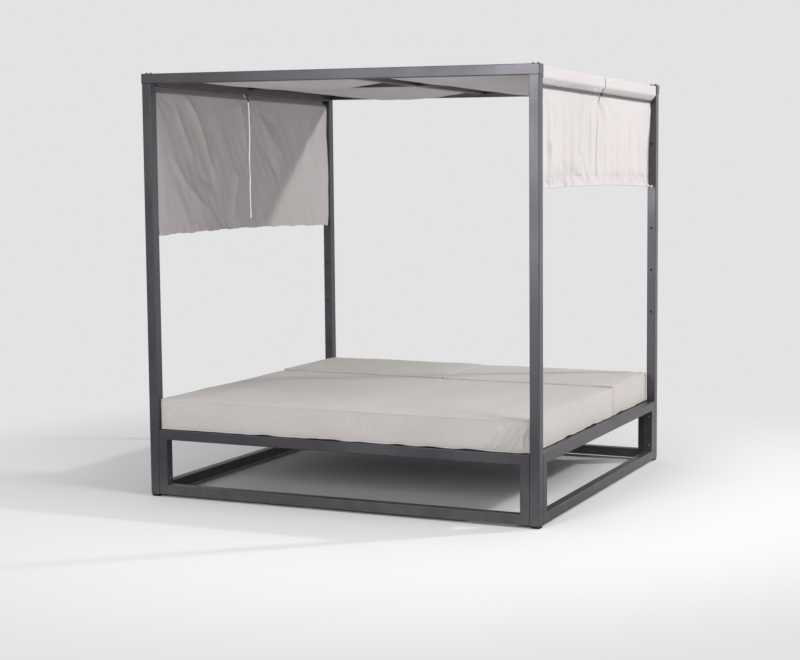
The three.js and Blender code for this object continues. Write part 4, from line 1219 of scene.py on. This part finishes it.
    def top_rise(self, co: Vector, u: float, v: float, rim: float, along: float, back: float) -> float:
        """How far the top stands up at a point: puckers along the seam, crown, waves and the groove at the back."""
        gather = (wobble(along * 26, self.seed, 0.3) + wobble(along * 7, self.seed, 3.3) * 1.2) * self.pucker
        rise = gather * math.exp(-rim / 0.04) + self.crown * (1 - u ** 4) * (1 - v ** 4)
        rise -= self.groove * math.exp((co.y - back) / 0.010)
        rise += wobble(co.x * 2.1, co.y * 2.4, self.seed) * 0.0035
        return rise + wobble(co.x * 6.5, co.y * 7.5, self.seed * 2) * 0.0012

    def rings(self, co: Vector) -> float:
        """How far the top stands up where the cover is slack, by (x, y, height, width) of each soft ring."""
        rise = 0.0
        for x, y, depth, width in self.slack:
            gone = math.hypot(co.x - x, co.y - y) / width
            rise += depth * math.sin(gone * 9 + x * 40) * math.exp(-gone ** 2)
        return rise

    def wall_rise(self, co: Vector, along: float, from_corner: float, t: float) -> float:
        """How far a side of the cover stands out: wrinkles, and creases that spread from its upper corners."""
        wall = wobble(along * 9, co.z * 16, self.seed + 4) * 0.0020
        wall += wobble(along * 22, co.z * 5, self.seed + 7) * 0.0014
        below = (1 - t) * self.height
        gone = math.hypot(from_corner, below)
        turn = math.atan2(below, max(from_corner, 1e-6))
        wall += math.cos(13 * turn + self.seed) * 0.0020 * math.exp(-gone / 0.10) * smooth(gone / 0.03)
        return wall * math.sin(math.pi * min(1.0, max(0.0, t)))

    def shape(self, piece: Object) -> None:
        """Adds the crown, puckers along the seams, wrinkles, creases and soft dents."""
        low, high = self.limits()
        middle, half = (low + high) / 2, (high - low) / 2
        for vertex in piece.data.vertices:
            co = vertex.co
            u, v = (co.x - middle.x) / half.x, (co.y - middle.y) / half.y
            t = (co.z - low.z) / self.height
            to_x, to_y = (1 - abs(u)) * half.x, (1 - abs(v)) * half.y
            near_x, near_y = smooth(1 - to_x / self.wall), smooth(1 - to_y / self.wall)
            rim = max(0.0, min(to_x, to_y))
            on_front = to_y < to_x
            along = co.x if on_front else co.y
            bend = abs(0.0022 * wobble(along * 2.4, self.seed, 7.0 if on_front else 1.0))
            co.x -= math.copysign((self.hollow * max(0.0, 1 - v * v) + bend) * near_x, u)
            co.y -= math.copysign((self.hollow * max(0.0, 1 - u * u) + bend) * near_y, v)
            if t > 0.6:
                rise = self.top_rise(co, u, v, rim, along, high.y) * smooth((t - 0.6) / 0.4)
                co.z += rise + self.rings(co)
            if rim < self.wall:
                wall = self.wall_rise(co, along, to_x if on_front else to_y, t)
                if on_front and v < 0:
                    wall += folded(self.folds, co.x, co.z)
                co.x += math.copysign(wall * near_x, u)
                co.y += math.copysign(wall * near_y, v)
                lift = max(0.0, wobble(along * 11, self.seed, 9.0) + 0.3)
                co.z += lift * self.hem_lift * smooth(1 - t / 0.16) * smooth(1 - rim / 0.02)
            co.z = max(co.z, low.z + 0.0002)
        piece.data.update()

    def build(self) -> None:
        """Builds the cushion with its welt."""
        piece = self.blank()
        self.inflate(piece)
        finer = piece.modifiers.new("Finer", "SUBSURF")
        finer.levels = finer.render_levels = 1
        settle(piece)
        self.shape(piece)
        piece.data.shade_smooth()
        piece.data.materials.clear()
        piece.data.materials.append(finish(self.material))
        tree = BVHTree.FromObject(piece, bpy.context.evaluated_depsgraph_get())
        points: list[Vector] = []
        faces: list[tuple[int, ...]] = []
        low, high = self.limits()
        for height in (low.z + self.seams[0], high.z - self.seams[1]):
            path: list[Vector] = []
            for spot in self.seam_path(height):
                found, normal, _, _ = tree.find_nearest(spot)
                path.append(found + normal * self.welt * 0.5)
            path = [(path[i - 1] + path[i] * 2 + path[(i + 1) % len(path)]) / 4 for i in range(len(path))]
            more, rings = swept(path, self.welt)
            faces.extend(tuple(i + len(points) for i in face) for face in rings)
            points.extend(more)
        welt = mesh_object(f"{self.name}_welt", points, faces, finish("piping"))
        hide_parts(self.node)
        for item in (piece, welt):
            if self.body is Body.FRAME:
                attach(item, self.body.value)
            else:
                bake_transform(item)
        LOG.info("%s: %d faces", self.name, len(piece.data.polygons))


CUSHIONS = (
    Cushion("front_cushion", "cushion_front", Body.FRAME, "cushion_fabric", 1.3, groove=0.006, folds=FRONT_FOLDS,
            slack=((0.93, -0.74, 0.0026, 0.16), (0.98, -0.4, 0.0018, 0.14), (-0.6, -0.7, 0.0014, 0.22))),
    # the left rear cushion takes the darker copy of the fabric as painted shade
    Cushion("rear_cushion_left", "cushion_rear_left", Body.BACKREST_LEFT, "cushion_fabric_shaded", 4.1, height=0.166,
            slack=((-0.5, 0.6, 0.0016, 0.2),)),
    Cushion("rear_cushion_right", "cushion_rear_right", Body.BACKREST_RIGHT, "cushion_fabric", 8.6, height=0.163,
            slack=((0.7, 0.5, 0.0018, 0.18),)),
)


@dataclass(frozen=True)
class Lamp:
    """A square area lamp that faces a target, and whether it lights matt surfaces and shows in glossy ones."""

    name: str
    place: Point
    target: Point
    size: float
    power: float
    colour: Colour
    lights: bool = True
    shines: bool = True

    def add(self) -> None:
        """Adds the lamp."""
        data = bpy.data.lights.new(self.name, "AREA")
        data.shape = "SQUARE"
        data.size = self.size
        data.energy = self.power
        data.color = self.colour
        lamp = bpy.data.objects.new(self.name, data)
        turn = (Vector(self.target) - Vector(self.place)).to_track_quat("-Z", "Y").to_matrix().to_4x4()
        lamp.visible_diffuse, lamp.visible_glossy, lamp.visible_camera = self.lights, self.shines, False
        lamp.matrix_world = Matrix.Translation(self.place) @ turn
        bpy.context.scene.collection.objects.link(lamp)


LAMPS = (
    Lamp("Key", (6.5, -1.5, 5.5), (0.0, 0.0, 0.9), 3.0, 272.0, (1.0, 0.995, 0.98)),
    Lamp("Top", (-1.0, -1.0, 7.0), (0.0, 0.0, 0.5), 5.0, 76.0, (1.0, 1.0, 1.0)),
    Lamp("Front", (-0.9, -8.0, 3.2), (0.3, 0.0, 1.0), 2.2, 240.0, (0.98, 0.98, 1.0), shines=False),
    Lamp("Card", (-1.85, -8.5, 2.6), (0.4, 0.0, 1.6), 3.1, 245.0, (0.95, 0.94, 1.0), lights=False),
    Lamp("Side card", (3.9, 6.2, 1.3), (1.1, 0.0, 1.0), 3.0, 26.0, (1.0, 0.99, 0.98), lights=False),
    Lamp("Back", (7.95, 4.5, 5.55), (-0.8, 0.4, 1.2), 0.45, 365.0, (1.0, 0.99, 0.98)),
)


@dataclass
class Studio:
    """Pale floor, soft lights and the camera at the photograph's angle."""

    camera_place: Point = (3.6385, -7.4802, 1.6636)
    yaw: float = 20.45
    pitch: float = -4.98
    lens: float = 68.5
    shift: tuple[float, float] = (-0.2045, -0.0299)
    floor_half: float = 60.0
    floor_height: float = -0.0006
    fade: tuple[float, float] = (1.7, 3.6)
    dark_from: tuple[float, float] = (1.2, -1.2)
    backdrop: Colour = linear(227, 227, 228)
    bounce: Colour = linear(210, 209, 210)
    mirrored: Colour = linear(110, 109, 112)
    seen: Colour = linear(240, 239, 241)
    room: Colour = (0.97, 0.98, 1.0)
    ambient: float = 0.39

    @staticmethod
    def mixed(w: Wiring, factor: Socket, first: Node, second: Node,
              output: Node) -> None:
        """Sends a mix of two shaders to an output."""
        mix = w.add("ShaderNodeMixShader")
        w.join((factor, mix.inputs[0]), (first.outputs[0], mix.inputs[1]), (second.outputs[0], mix.inputs[2]),
               (mix.outputs[0], output.inputs["Surface"]))

    def floor(self) -> None:
        """A wide pale floor that fades into the backdrop, and that glossy rays see darker in front."""
        corners = [(x * self.floor_half, y * self.floor_half, self.floor_height)
                   for x, y in ((-1, -1), (1, -1), (1, 1), (-1, 1))]
        material, w, shader = start_material("floor")
        shader.inputs["Roughness"].default_value = 0.9
        shader.inputs["Specular IOR Level"].default_value = 0.1
        place = w.add("ShaderNodeTexCoord").outputs["Object"]
        away = w.add("ShaderNodeVectorMath", operation="LENGTH")
        far = w.add("ShaderNodeMapRange", {"From Min": self.fade[0], "From Max": self.fade[1]},
                    interpolation_type="SMOOTHSTEP")
        depth = w.add("ShaderNodeSeparateXYZ")
        w.join((place, away.inputs[0]), (away.outputs["Value"], far.inputs["Value"]), (place, depth.inputs[0]))
        rays = w.add("ShaderNodeLightPath")
        front = ranged(w, depth.outputs["Y"], *self.dark_from)
        tone = tinted(w, w.maths("MULTIPLY", front, rays.outputs["Is Glossy Ray"]), self.bounce, self.mirrored)
        w.link(tinted(w, rays.outputs["Is Camera Ray"], tone, self.seen), shader.inputs["Base Color"])
        shown = w.maths("MULTIPLY", far.outputs["Result"], rays.outputs["Is Camera Ray"])
        backdrop = w.add("ShaderNodeEmission", {"Color": (*self.backdrop, 1.0), "Strength": 1.0})
        self.mixed(w, shown, shader, backdrop, material.node_tree.nodes["Material Output"])
        mesh_object("floor", corners, [(0, 1, 2, 3)], material)

    def world(self) -> None:
        """Even light from all round, and a pale background for the camera."""
        world = bpy.data.worlds.new("Room")
        world.use_nodes = True
        bpy.context.scene.world = world
        w = Wiring(world.node_tree)
        world.node_tree.nodes.clear()
        light = w.add("ShaderNodeBackground", {"Color": (*self.room, 1.0), "Strength": self.ambient})
        seen = w.add("ShaderNodeBackground", {"Color": (*self.backdrop, 1.0), "Strength": 1.0})
        rays = w.add("ShaderNodeLightPath")
        either = w.maths("MAXIMUM", rays.outputs["Is Camera Ray"], rays.outputs["Is Transmission Ray"])
        self.mixed(w, either, light, seen, w.add("ShaderNodeOutputWorld"))

    def camera(self) -> None:
        """Adds the camera."""
        data = bpy.data.cameras.new("Camera")
        data.sensor_fit = "HORIZONTAL"
        data.sensor_width = 36.0
        data.lens = self.lens
        data.shift_x, data.shift_y = self.shift
        data.clip_end = 200.0
        camera = bpy.data.objects.new("Camera", data)
        camera.location = self.camera_place
        camera.rotation_euler = (math.radians(90 + self.pitch), 0.0, math.radians(self.yaw))
        bpy.context.scene.collection.objects.link(camera)
        bpy.context.scene.camera = camera

    def build(self) -> None:
        """Sets up floor, world, lamps, camera and view."""
        self.floor()
        self.world()
        for lamp in LAMPS:
            lamp.add()
        self.camera()
        bpy.context.scene.view_settings.view_transform = "Standard"


def main() -> None:
    """Builds the daybed and its studio."""
    logging.basicConfig(level=logging.INFO)
    metal = MetalFrame()
    metal.dress()
    # the hole cups from the metal frame are painted shade in the posts' holes
    for piece in (*metal.heads(), metal.hole_shade_cups()):
        LOG.info("%s: %d faces", piece.name, len(piece.data.polygons))
    Canopy().build()
    for cushion in CUSHIONS:
        cushion.build()
    Studio().build()


if __name__ == "__main__":
    main()
